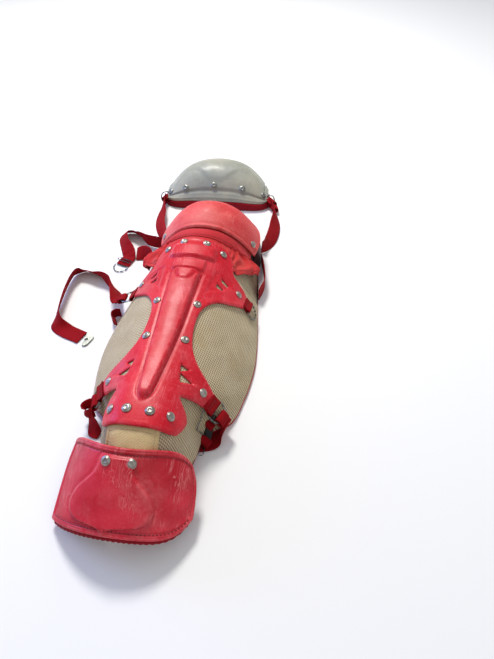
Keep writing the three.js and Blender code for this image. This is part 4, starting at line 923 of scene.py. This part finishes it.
def thigh_plan(u, v):
    a = np.minimum(np.abs(u), 1)
    near = 0.11 * THIGH_LENGTH * a**10
    far = THIGH_LENGTH * (0.3 + 0.7 * np.maximum(1 - a**2.4, 0) ** 0.62)
    return THIGH_HALF * u, mix(near, far, v)


def thigh_dome(u, v):
    x, y = thigh_plan(u, v)
    a = np.minimum(np.abs(u), 1)
    peak = 0.46
    away = np.where(v < peak, (peak - v) / peak, (v - peak) / (1 - peak))
    rise = (1 - a**2.6) * (1 - np.clip(away, 0, 1) ** 2.1)
    rim = THIGH_RIM + THIGH_ARCH * (1 - a * a)
    step = 2 * between(v, 0.06, 0.1, 0.95, 1) * (1 - ease(0.93, 1, a))
    return stack(x, y, rim + (THIGH_HEIGHT - rim) * rise + step)


def at_thigh(points):
    turn = math.radians(THIGH_TURN)
    c, s = math.cos(turn), math.sin(turn)
    x, y, z = points[..., 0], points[..., 1], points[..., 2]
    return stack(THIGH_SHIFT + c * x - s * y, THIGH_NEAR + s * x + c * y, z)


def thigh_sheet(depth, grow, bulge):
    """One side of the thigh padding: under the dome, then down to the floor all round."""
    line_u = np.linspace(-1, 1, 81)
    line_v = np.linspace(0, 1, 60)
    u, v = np.meshgrid(line_u, line_v)
    top = offset_surface(thigh_dome, u, v, -depth)
    top[..., 2] = np.maximum(top[..., 2], 1)
    steps = np.linspace(0, 1, 7)[1:]
    middle = 0.45 * THIGH_LENGTH

    def spread(at_u, at_v, more):
        x, y = thigh_plan(at_u, at_v)
        reach = np.hypot(x, y - middle)
        out = grow + more
        return stack(x + out * x / reach, y + out * (y - middle) / reach, 0)

    def wall(edge, at_u, at_v):
        foot = spread(at_u, at_v, 0)
        fat = spread(at_u, at_v, bulge)
        return [edge + (foot - edge) * t + (fat - foot) * np.sin(t * math.pi) for t in steps]

    left = wall(top[:, 0], -1.0, line_v)
    right = wall(top[:, -1], 1.0, line_v)
    body = np.concatenate([np.stack(left[::-1], 1), top, np.stack(right, 1)], 1)
    foot_u = np.pad(line_u, len(steps), mode="edge")
    near = np.stack(wall(body[0], foot_u, 0.0))
    far = np.stack(wall(body[-1], foot_u, 1.0))
    return at_thigh(np.concatenate([near[::-1], body, far], 0))


def build_thigh():
    u, v = patch(141, 110)
    a = np.abs(u)
    arc = 0.3 - 0.1 * np.cos(np.clip(a - 0.08, 0, 1) * 7.4) + 0.05 * a
    swirl = 1.3 * ease(arc - 0.06, arc + 0.03, v) * (1 - ease(0.72, 0.88, a)) * (1 - ease(0.4, 0.75, v))
    border = np.minimum(v * THIGH_RUN, (1 - a) * THIGH_SPREAD)
    flange = 1.2 * (1 - ease(5.6, 6.8, border))
    flange = flange - 1.5 * bump(border, 7.8, 1.4) + 1.2 * bump(border, 1.8, 1.3)
    fall = 1.5 * (1 - ease(0, 2, np.minimum(border, (1 - v) * THIGH_RUN)))
    dents = 0.4 * ripple(u * 100, v * 90, 46, 5) * ease(8, 16, border)
    outer = at_thigh(offset_surface(thigh_dome, u, v, swirl + flange + dents - fall))
    inner = at_thigh(offset_surface(thigh_dome, u, v, -THIGH_WALL))
    slab("thigh_shell", outer, inner, GREY, replaces=["thigh_cap"], slot="thigh_shell")
    outer = thigh_sheet(THIGH_WALL + GAP, THIGH_PAD_PROUD, 1.6)
    inner = thigh_sheet(THIGH_WALL + GAP + THIGH_PAD_WALL, -THIGH_PAD_WALL, 0)
    pad = slab("thigh_padding", outer, inner, MAROON, replaces=["thigh_pad"], slot="webbing")
    rim_u = np.linspace(-1, 1, 100)
    seam = at_thigh(offset_surface(thigh_dome, rim_u, np.zeros_like(rim_u), -THIGH_WALL - 2))
    seam[:, 1] -= 1.2
    tube("thigh_piping", seam, 1.6, PIPING, 10, slot="webbing")


# Toe: along, half width, depth
TOE_SECTIONS = [(0.0, 0.9, 0.95), (0.3, 0.97, 0.97), (0.7, 1.0, 0.9), (1.0, 1.0, 0.8)]
# How far the corners are cut back, left and right
TOE_CORNERS = {"top": (0.07, 0.24), "foot": (0.03, 0.27)}
TOE_HOLLOW = 0.1
TOE_PAD_START = 0.2

def toe(u, v):
    slope = math.radians(TOE_SLOPE)
    down = np.array([0, -math.cos(slope), -math.sin(slope)])
    normal = np.array([0, -math.sin(slope), math.cos(slope)])
    a = np.abs(u)
    top = np.where(u < 0, *TOE_CORNERS["top"])
    foot = np.where(u < 0, *TOE_CORNERS["foot"])
    near = -TOE_HOLLOW * np.minimum(a, 1) ** 2 + top * a**7
    along = mix(near, 1 - foot * a**7, v) * TOE_LENGTH
    half = read(TOE_SECTIONS, v, 1) * TOE_HALF
    depth = read(TOE_SECTIONS, v, 2) * TOE_DEPTH
    base = stack(TOE_SHIFT + half * u, TOE_NEAR, TOE_TOP)
    return base + down * along[..., None] - normal * (depth * a**2.1)[..., None]


# Half width of the toe cap's raised bell along the slope
BELL = [(0.0, 0.12), (0.09, 0.22), (0.13, 0.26), (0.22, 0.27), (0.32, 0.31), (0.42, 0.41), (0.52, 0.51),
        (0.64, 0.58), (0.74, 0.59), (0.82, 0.54), (0.88, 0.41), (0.92, 0.12), (1.0, 0.0)]


def toe_boss(u, v):
    half = read(BELL, v, 1)
    side = np.abs(u + 0.05 + 0.03 * v)
    inside = np.minimum((half - side) * TOE_HALF, (v - 0.1) * TOE_LENGTH * 1.2)
    return TOE_BOSS_RISE * ease(-1.6, 3.2, inside) - 0.5 * bump(inside, -3.6, 1.8)


def toe_thread(line):
    """Places of thread on the toe cap, from rows of u and v."""
    u, v = line[:, 0], line[:, 1]
    return offset_surface(toe, u, v, toe_boss(u, v) + 0.15)


def build_toe():
    u, v = patch(161, 110)
    edge = np.minimum(np.minimum(v, 1 - v) * TOE_LENGTH, (1 - np.abs(u)) * TOE_HALF * 1.5)
    fall = 1.6 * (1 - ease(0, 2, edge))
    rim = 0.7 * bump(edge, 3.0, 1.3) - 0.5 * bump(edge, 6.0, 1.0)
    dents = 0.5 * ripple(u * 80, v * 90, 45, 21)
    outer = offset_surface(toe, u, v, toe_boss(u, v) - fall + rim + dents * ease(3, 12, edge))
    inner = offset_surface(toe, u, v, -TOE_WALL)
    slab("toe_shell", outer, inner, TOE, replaces=["toe_cap"], slot="plate")

    u, v = np.meshgrid(np.linspace(-1, 1, 101), np.linspace(TOE_PAD_START, 1, 50))
    sheets = []
    for depth in (TOE_WALL + GAP + 0.1, TOE_WALL + GAP + 0.1 + TOE_PAD_WALL):
        points = offset_surface(toe, u, v, -depth)
        points[..., 2] = np.maximum(points[..., 2], 0.1)
        sheets.append(points)
    pad = slab("toe_padding", sheets[0], sheets[1], MAROON, replaces=["toe_pad"], slot="lining")
    line = np.linspace(-0.97, 0.97, 300)
    foot = offset_surface(toe, line, np.ones_like(line), -TOE_WALL - 2.6)
    foot[:, 2] = np.maximum(foot[:, 2], 3.6)
    foot[:, 1] -= 2.2
    ribs = 3.2 + 0.35 * np.sin(np.arange(len(line)) * 0.55)
    tube("toe_roll", foot, ribs, MAROON, 12, slot="lining")
    corners = [(-1, 0), (1, 0), (1, 1), (-1, 1)]
    spans = zip(corners, corners[1:] + corners[:1], (160, 60, 160, 60))
    loop = np.concatenate([np.linspace(a, b, n, endpoint=False) for a, b, n in spans])
    inset = loop * [0.994, 0.98] + [0, 0.01]
    edging = offset_surface(toe, inset[:, 0], inset[:, 1], -0.55 * TOE_WALL)
    tube("toe_edging", edging, 2.3, TOE, 12, closed=True, normal=(0.0, -0.4, 1.0), slot="plate")
    rim = np.linspace(-0.965, 0.965, 120)
    for label, across, along, pitch, radius, share in (
            ("near", rim, 0.065, 3.6, 0.45, 0.72),
            ("far", rim[::-1], 0.945, 4.4, 0.5, 0.75),
            ("side", 0.965, np.linspace(0.06, 0.94, 40), 3.6, 0.45, 0.72)):
        line = stack(across, along, 0)[:, :2]
        stitches(f"toe_stitch_{label}", toe_thread, line, pitch, radius, share)


def tab_point(u, y, lift):
    p = plate_point(TAB_SHIFT + TAB_HALF * u, y, SEAT + lift)
    p[..., 2] -= tuck(y)
    return p


def tab_thread(line):
    """Places of thread on the tab, from rows of u and y."""
    return tab_point(line[:, 0], line[:, 1], CLOTH_WALL + 0.2)


def build_tab():
    u, v = np.meshgrid(np.linspace(-1, 1, 61), np.linspace(0, 1, 50))
    y = mix(TAB_Y, PAD_FOOT - 4, v)
    hem = 0.5 * bump(np.abs(u), 0.93, 0.03)
    outer = tab_point(u, y, CLOTH_WALL + hem + 0.25 * ripple(u * 30, y, 18, 31))
    tab = slab("tab_canvas", outer, tab_point(u, y, 0), CANVAS, replaces=["ankle_tab"], slot="canvas")
    rows = np.linspace(TAB_Y - 2, PAD_FOOT, 14)
    for label, across, along in (("left", -0.86, rows), ("right", 0.86, rows),
                                 ("across", np.linspace(-0.86, 0.86, 20), TAB_Y - 9)):
        line = stack(across, along, 0)[:, :2]
        stitches(f"tab_stitch_{label}", tab_thread, line, 3.0, 0.32, 0.65, TAN_THREAD)


# Wing tips: along, out, heading of the tip, and the droop of its ring on each side in degrees
TIPS = {
    "upper": (0.785, 0.98, (0.94, -0.34), {-1: -32, 1: 8}),
    "lower": (0.212, 0.785, (0.9, -0.43), {-1: 4, 1: -6}),
}
# A strap's end round its ring: x and z in the ring's own frame
WRAP = [
    (29, -1), (25, -1), (22, -3.3), (15.3, -3.6), (12.6, -2.4), (11.6, 0), (12.6, 2.4),
    (15.3, 3.6), (22, 3.3), (25, 1), (29, 1),
]
EDGE_ON = WEB_WIDTH / 2 + GAP
LEANING = 0.38 * WEB_WIDTH + GAP
# Straps: the tip and side of the ring each hangs on, its width, and its course as x, y, z and
# the direction across the webbing
ROUTES = {
    "upper_strap": ("upper", -1, WEB_WIDTH, [
        (-133, 146, EDGE_ON + 4, -0.5, -0.3, 0.8), (-152, 168, EDGE_ON, 0.1, 0.1, 1),
        (-178, 184, LEANING, 0.3, -0.6, 0.7), (-199, 191, LEANING, 0.2, -0.7, 0.7),
        (-211, 188, LEANING, 0.4, -0.4, 0.85), (-217, 178, EDGE_ON, 0.4, -0.2, 0.9),
        (-218, 155, EDGE_ON, 0.35, 0, 0.93), (-214, 117, EDGE_ON, 0.35, 0, 0.93),
        (-209, 86, LEANING, 0.4, 0.1, 0.85), (-203, 68, 8, 0.75, 0.5, 0.6),
        (-186, 60, 2.5, 0.45, 0.9, 0.1), (-167, 54, 1.2, 0.35, 0.94, 0), (-157, 50.5, 1.2, 0.35, 0.94, 0)]),
    "upper_loop": (None, 0, 18, [
        (-110.4, 103, 9.5, 0, 0, 1), (-118, 102, 9.5, 0, 0, 1), (-122, 95, 9.5, 0, 0, 1),
        (-118, 86, 9.5, 0, 0, 1), (-110.7, 82, 9.5, 0, 0, 1)]),
    "knee_strap_left": (None, 0, WEB_WIDTH, [
        (-81, 279, EDGE_ON, 0, 0, 1), (-115, 284, EDGE_ON, 0, 0, 1), (-138, 299, LEANING, 0.3, -0.6, 0.7),
        (-154, 308, LEANING, 0.2, -0.7, 0.7), (-165, 305, LEANING, 0.6, -0.4, 0.7),
        (-167, 293, LEANING, 0.7, 0, 0.7), (-158, 272, LEANING, 0.6, 0.2, 0.7),
        (-148, 258, 8, 0.75, 0.5, 0.5), (-143, 246, 2.5, 0.95, -0.3, 0.1),
        (-146, 232, 1.2, 0.97, -0.25, 0), (-148, 224, 1.2, 0.97, -0.25, 0)]),
    "knee_stub_left": (None, 0, WEB_WIDTH, [
        (-92.6, 228, EDGE_ON, 0, 0, 1), (-99, 242, EDGE_ON, 0, 0.3, 1), (-114, 251, 11, 0, 0.6, 0.8),
        (-130, 252, 5.5, 0, 0.9, 0.4)]),
    "knee_strap_right": (None, 0, WEB_WIDTH, [
        (93.2, 262, EDGE_ON, 0, 0, 1), (98, 246, EDGE_ON, 0, 0, 1), (103, 225, EDGE_ON, 0, 0, 1),
        (106, 200, EDGE_ON, 0, 0, 1), (100.6, 172, EDGE_ON, 0, 0, 1)]),
    "thigh_strap_left": (None, 0, WEB_WIDTH, [
        (-119.1, 420, EDGE_ON, 0, 0, 1), (-120, 402, EDGE_ON, 0.3, 0.1, 1),
        (-116, 372, LEANING, 0.75, 0, 0.65), (-110, 340, LEANING, 0.75, 0, 0.65),
        (-96, 311, LEANING, 0.5, 0, 0.7), (-78.6, 296, EDGE_ON, 0, 0, 1)]),
    "thigh_strap_right": (None, 0, WEB_WIDTH, [
        (86.3, 438, EDGE_ON, 0, 0, 1), (102, 406, EDGE_ON, -0.3, 0, 1),
        (106, 368, LEANING, -0.75, 0, 0.65), (104, 332, LEANING, -0.75, 0, 0.65),
        (98, 308, LEANING, -0.4, 0, 0.8), (89.4, 294, EDGE_ON, 0, 0, 1)]),
    "lower_strap": ("lower", 1, WEB_WIDTH, [
        (87, -86, 12, 0.1, 0.9, -0.1), (80, -91, 4, -0.2, 0.95, 0), (68, -98, 1.3, -0.2, 0.97, 0),
        (30, -104, 1.3, 0, 1, 0), (-50, -104, 1.3, 0, 1, 0)]),
    "lower_tail": ("lower", -1, 18, [
        (-89, -88, 14, 0.6, -0.5, 0.5), (-84, -97, 8, 0.85, -0.15, 0.4), (-79, -107, 3, 0.95, 0.3, 0.1),
        (-75, -113, 1.2, 0.95, 0.3, 0)]),
}
# A loose fold beside the tail: x, y, z, the direction across, width
FOLD = [
    (-85, -77, 29, 0.1, 0.5, 0.85, 14), (-91, -80, 27, 0.1, 0.4, 0.9, 18),
    (-95, -84, 24, 0, 0.3, 0.95, 20), (-93, -87.5, 21, 0, 0.3, 0.95, 19),
    (-88, -88, 20, 0.1, 0.3, 0.95, 17), (-83, -86, 20, 0.1, 0.4, 0.9, 14),
]
# The widths of the tail's last two rows
TAIL_ENDS = (17, 2.5)
KEEPER_WALL, KEEPER_BEND = 1.5, 2.7
# A keeper's two legs beside its bend: x and z in the tip's frame, z down on one and up on the other
KEEPER_LEGS = [(0.4, 0.9), (4.5, 0.9), (8.5, 1.1)]
# Stitches across a keeper: the end of the name and x
KEEPER_SEAMS = [("6_5", 6.5), ("9_5", 9.5)]


def tip_frame(name, side):
    along, out, heading, _ = TIPS[name]
    y = (along - PLATE_ANCHOR) * PLATE_LENGTH
    lift = SEAT + PLATE_WALL / 2 + 1.5
    return shin_frame(side * out * PLATE_HALF, y, (side * heading[0], heading[1]), lift)


def ring_frame(name, side):
    turn, origin = tip_frame(name, side)
    droop = math.radians(TIPS[name][3][side])
    c, s = math.cos(droop), math.sin(droop)
    return turn @ np.array([[c, 0, s], [0, 1, 0], [-s, 0, c]]), origin + turn[:, 0] * KEEPER_LENGTH


def resample(rows, step):
    """Rows of point, across and width, spaced evenly on a smooth path."""
    fine = spline(rows, 16)
    run = running(fine[:, :3])
    spots = np.linspace(0, run[-1], max(int(run[-1] / step), 2))
    return np.stack([np.interp(spots, run, fine[:, k]) for k in range(fine.shape[1])], -1)


def ribbon(name, rows, wall, material, seed=0, **kwargs):
    rows = resample(rows, 1.4)
    point, across, width = rows[:, :3], rows[:, 3:6], rows[:, 6]
    tangent = unit(np.gradient(point, axis=0))
    flat = unit(across - np.sum(across * tangent, 1)[:, None] * tangent)
    up = np.cross(tangent, flat)
    s = np.linspace(-1, 1, 15)
    thick = wall / 2 * np.sqrt(np.maximum(1 - np.abs(s) ** 8, 0.12))
    run = np.cumsum(np.linalg.norm(np.gradient(point, axis=0), axis=1))
    cup = 0.4 * ripple(run[:, None] * np.ones_like(s), 8 * s[None], 34, seed)
    top = point[:, None] + flat[:, None] * (s * 0.5)[None, :, None] * width[:, None, None]
    shift = cup * (1 - s**2)[None] * 0.7
    upper = top + up[:, None] * (thick + shift)[..., None]
    lower = top + up[:, None] * (-thick + shift)[..., None]
    rings = np.concatenate([upper, lower[:, ::-1]], 1)
    lift = np.maximum(-rings[..., 2].min(1), 0)
    rings[..., 2] += lift[:, None]
    return loft(name, rings, material, **kwargs)


def across_tip(turn, origin, places, width):
    """Rows for a ribbon whose course is given as x and z in a tip's frame."""
    return [(*(origin + turn @ [x, 0, z]), *turn[:, 1], width) for x, z in places]


def same_point(line):
    return line


def build_straps():
    for seed, (name, (tip, side, width, table)) in enumerate(ROUTES.items()):
        rows = [(*row, width) for row in table]
        if name == "lower_tail":
            rows[-2:] = [(*row[:6], end) for row, end in zip(rows[-2:], TAIL_ENDS)]
        if tip:
            rows = across_tip(*ring_frame(tip, side), WRAP, TIP_WIDTH) + rows
        ribbon(f"{name}_web", rows, WEB_WALL, WEBBING, seed, replaces=[name], slot="webbing")
    ribbon("lower_fold", FOLD, WEB_WALL, WEBBING, 8, slot="webbing")
    angles = np.radians(np.linspace(-125, 125, 9))
    bend = [(KEEPER_LENGTH + KEEPER_BEND * math.cos(t), KEEPER_BEND * math.sin(t)) for t in angles]
    path = [(x, -z) for x, z in KEEPER_LEGS] + bend + KEEPER_LEGS[::-1]
    for tip in TIPS:
        for side, label in ((-1, "left"), (1, "right")):
            turn, origin = tip_frame(tip, side)
            rows = across_tip(turn, origin, path, WEB_WIDTH - 1)
            ribbon(f"keeper_web_{tip}_{label}", rows, KEEPER_WALL, WEBBING, 3,
                   replaces=[f"keeper_{tip}_{label}"], slot="webbing")
            for place, x in KEEPER_SEAMS:
                seam = stack(x, np.linspace(-9.5, 9.5, 8), 1.95) @ turn.T + origin
                stitches(f"keeper_stitch_{tip}_{label}_{place}", same_point, seam, 2.6, 0.34, 0.7)


# Hardware
# Rolls of webbing at the lower right: centre, radius, width
ROLLS = [
    ("roll_lower_near", (69, -84, 24.5), 3.6, 17),
    ("roll_lower_far", (66, -100, 10.5), 4.6, 19),
]
# Rolls at the thigh cap's ends: centre, radius, width, heading
KNOTS = [
    ("knot_left", (-120, 424, 11), 5, 16, 1.2),
    ("knot_right", (91, 437, 12), 5.5, 17, -0.9),
    ("knot_right_low", (99, 424, 8), 4.5, 15, -1.3),
]
# Plain rings at the thigh cap's ends: centre, heading
THIGH_RINGS = [("left", (-121, 424, 14), 0.4), ("right", (88.5, 442, 14), -0.4)]


def web_roll(name, centre, radius, width, axis, side, up, stretch, turns, seed):
    """A small roll of webbing round a centre, stretched to one side."""
    around = [np.array(centre) + radius * (side * math.cos(t) * stretch + up * math.sin(t))
              for t in turns]
    rows = [(*point, *axis, width) for point in around]
    ribbon(name, rows, WEB_WALL, WEBBING, seed, slot="webbing")


def build_fittings():
    """Small webbing rolls, a plastic slide and wires that the solids leave out."""
    axis = unit(np.array([0.82, -0.42, -0.38]))
    side = unit(np.cross(axis, [0, 0, 1]))
    turns = np.linspace(0.3, 2 * math.pi + 0.1, 15)
    for name, centre, radius, width in ROLLS:
        web_roll(name, centre, radius, width, axis, side, np.cross(side, axis), 1.25, turns, 5)
    turns = np.linspace(0, 2 * math.pi - 0.5, 15)
    up = np.array([0, 0.1, 1])
    for name, centre, radius, width, heading in KNOTS:
        c, s = math.cos(heading), math.sin(heading)
        side = np.array([s, -c, 0.2])
        web_roll(name, centre, radius, width, (c, s, 0), side, up, 1.3, turns, 6)
    near, far = np.array([70.5, -74.5, 33.0]), np.array([65.5, -101, 9.0])
    along = unit(far - near)
    flat = unit(axis - axis @ along * along)
    up = np.cross(along, flat)
    corners = [(-8, 0), (8, 0), (8, 34), (5.5, 36.5), (-5.5, 36.5), (-8, 34)]
    rings = np.array([[near + flat * x + along * min(y, 36) + up * h for x, y in corners]
                      for h in (-1.1, 1.1)])
    slide = loft("slide_plate", rings, PLASTIC, slot="dark_steel")
    bevel = slide.modifiers.new("round", "BEVEL")
    bevel.width, bevel.segments = 0.0006, 2
    for label, shift in (("near", -5.5), ("far", 5.5)):
        places = [(69 + shift, -70), (67 + shift, -78), (63.5 + shift * 0.8, -88),
                  (59.5 + shift * 0.5, -97), (57, -101)]
        run = spline(places, 8)
        lift = 2.2 + 1.2 * np.sin(np.linspace(0, 1, len(run)) * math.pi)
        path = plate_point(run[:, 0], run[:, 1], lift)
        path[:, 2] -= 4.2 * bump(path[:, 1], -80, 10)
        tube(f"hook_wire_{label}", path, 0.9, STEEL, 8, slot="steel")
    t = np.linspace(0, 2 * math.pi, 28, endpoint=False)
    across = np.sign(np.cos(t))[:, None] * np.abs(np.cos(t))[:, None] ** 0.7
    rise = np.sin(t)[:, None] * np.array([0, 0.35, 0.94])
    for name, centre, heading in THIGH_RINGS:
        flat = np.array([math.cos(heading), math.sin(heading), 0])
        ring = np.array(centre) + 8.5 * across * flat + 9.5 * rise
        tube(f"thigh_ring_{name}", ring, 1.1, STEEL, 8, closed=True, normal=(0.0, 1.0, 0.2), slot="steel")


# A rivet's section from its middle under the cap to its middle on top: share of radius, of height
RIVET_ROWS = [
    (0, -0.3), (1.0, -0.3), (1.06, 0.0), (1.06, 0.2), (1.0, 0.42), (0.86, 0.56), (0.8, 0.58),
    (0.76, 0.74), (0.66, 0.9), (0.5, 0.96), (0.4, 0.96), (0.34, 0.84), (0.14, 0.82), (0, 0.82),
]


def build_rivets():
    angle = np.linspace(0, 2 * math.pi, 40, endpoint=False)
    rings = np.array([stack(r * RIVET_RADIUS * np.cos(angle), r * RIVET_RADIUS * np.sin(angle),
                            h * RIVET_HEIGHT) for r, h in RIVET_ROWS[1:-1]])
    count, sides = rings.shape[:2]
    faces = skin(count, sides)
    last = (count - 1) * sides
    for j in range(sides):
        k = (j + 1) % sides
        faces += [(count * sides, k, j), (count * sides + 1, last + j, last + k)]
    for name, item in sorted(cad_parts.items()):
        if not name.startswith("rivet_"):
            continue
        co = np.array([item.matrix_world @ v.co for v in item.data.vertices]) * 1000
        centre = co.mean(0)
        _, _, axes = np.linalg.svd(co - centre)
        axis = axes[2] if axes[2][2] > 0 else -axes[2]
        heights = (co - centre) @ axis
        base = centre + axis * heights.min()
        side = unit(np.cross(axis, [0.3, 1, 0.2]))
        turn = np.stack([side, np.cross(axis, side), axis], 1)
        ends = [axis * h * RIVET_HEIGHT for h in (RIVET_ROWS[0][1], RIVET_ROWS[-1][1])]
        points = base + np.concatenate([rings.reshape(-1, 3) @ turn.T, ends])
        obj = make(f"cap_{name}", points - OFFSET * 1000, faces,
                   PAINTED if "thigh" in name else RIVET, replaces=[name], slot="steel")
        face_out(obj)


# Metal pieces that aren't plain steel
METALS = {"hook_upper": PAINTED, "hook_knee": DARK, "slide_knee": DARK, "slide_lower": DARK}


def build_metal():
    """The rings, hooks and slides: the solids' own forms, rounded and given metal."""
    for name, item in sorted(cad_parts.items()):
        if not name.startswith(("ring_", "hook_", "slide_")):
            continue
        material = METALS.get(name, STEEL)
        mesh = item.data.copy()
        mesh.materials.clear()
        mesh.materials.append(material)
        mesh.polygons.foreach_set("use_smooth", [True] * len(mesh.polygons))
        metal = add(f"metal_{name}", mesh)
        metal.matrix_world = item.matrix_world
        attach(metal, "root")
        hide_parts(name)
        if name == "hook_upper":
            bevel = metal.modifiers.new("round", "BEVEL")
            bevel.width, bevel.segments, bevel.limit_method = 0.0007, 3, "ANGLE"
        else:
            smooth = metal.modifiers.new("smooth", "SUBSURF")
            smooth.levels = smooth.render_levels = 2


# Stage: pale floor, soft light, and the photograph's camera
FLOOR_REACH, FLOOR_DROP = 6.0, 0.0005
# Lamps: name, place, size, power, colour
LAMPS = [
    ("key", (-0.4, 1.05, 1.65), 0.5, 37, (1.0, 0.985, 0.95)),
    ("window", (-1.4, 0.1, 0.55), 0.8, 12, (0.26, 0.38, 1.0)),
    ("fill", (1.2, -0.9, 1.4), 1.2, 3, (1.0, 0.97, 0.93)),
]
SKY = [(0.0, (0.5, 0.49, 0.48)), (0.3, (0.6, 0.6, 0.62)), (0.75, (0.9, 0.93, 1.0))]
SKY_STRENGTH = 0.57
CAMERA_PLACE = (167, -411, 580)
CAMERA_DIP, CAMERA_TURN = 48, 8.4
# The photograph's focal length and height in pixels, and Blender's sensor in millimetres
FOCAL, PICTURE_HEIGHT, SENSOR = 500, 659, 36


def build_stage():
    mesh = bpy.data.meshes.new("floor")
    corners = [(-1, -1), (1, -1), (1, 1), (-1, 1)]
    mesh.from_pydata([(x * FLOOR_REACH, y * FLOOR_REACH, -FLOOR_DROP) for x, y in corners],
                     [], [(0, 1, 2, 3)])
    material = bpy.data.materials.new("floor_white")
    material.use_nodes = True
    shader = material.node_tree.nodes["Principled BSDF"]
    feed(material.node_tree, shader, {"Base Color": (0.88, 0.88, 0.875, 1), "Roughness": 0.85,
                                      "Specular IOR Level": 0.1})
    mesh.materials.append(material)
    add("floor", mesh)

    world = bpy.data.worlds.new("studio")
    bpy.context.scene.world = world
    world.use_nodes = True
    tree = world.node_tree
    background = tree.nodes["Background"]
    spot = node(tree, "ShaderNodeTexCoord").outputs["Generated"]
    height = node(tree, "ShaderNodeSeparateXYZ", {"Vector": spot}).outputs[2]
    tree.links.new(ramp(tree, height, SKY), background.inputs["Color"])
    background.inputs["Strength"].default_value = SKY_STRENGTH

    for name, place, size, power, colour in LAMPS:
        data = bpy.data.lights.new(name, "AREA")
        data.shape, data.size, data.energy, data.color = "DISK", size, power, colour
        lamp = add(name, data)
        lamp.location = place
        lamp.rotation_euler = (-Vector(place)).to_track_quat("-Z", "Y").to_euler()


def build_camera():
    data = bpy.data.cameras.new("camera")
    data.lens = SENSOR * FOCAL / PICTURE_HEIGHT
    camera = add("camera", data)
    camera.location = np.array(CAMERA_PLACE) / 1000 + OFFSET
    camera.rotation_euler = (math.radians(90 - CAMERA_DIP), 0, math.radians(CAMERA_TURN))
    bpy.context.scene.camera = camera


build_pad()
build_plate()
build_knee()
build_flex()
build_thigh()
build_toe()
build_tab()
build_straps()
build_fittings()
build_rivets()
build_metal()
build_stage()
build_camera()
bpy.context.scene.view_settings.view_transform = "Standard"
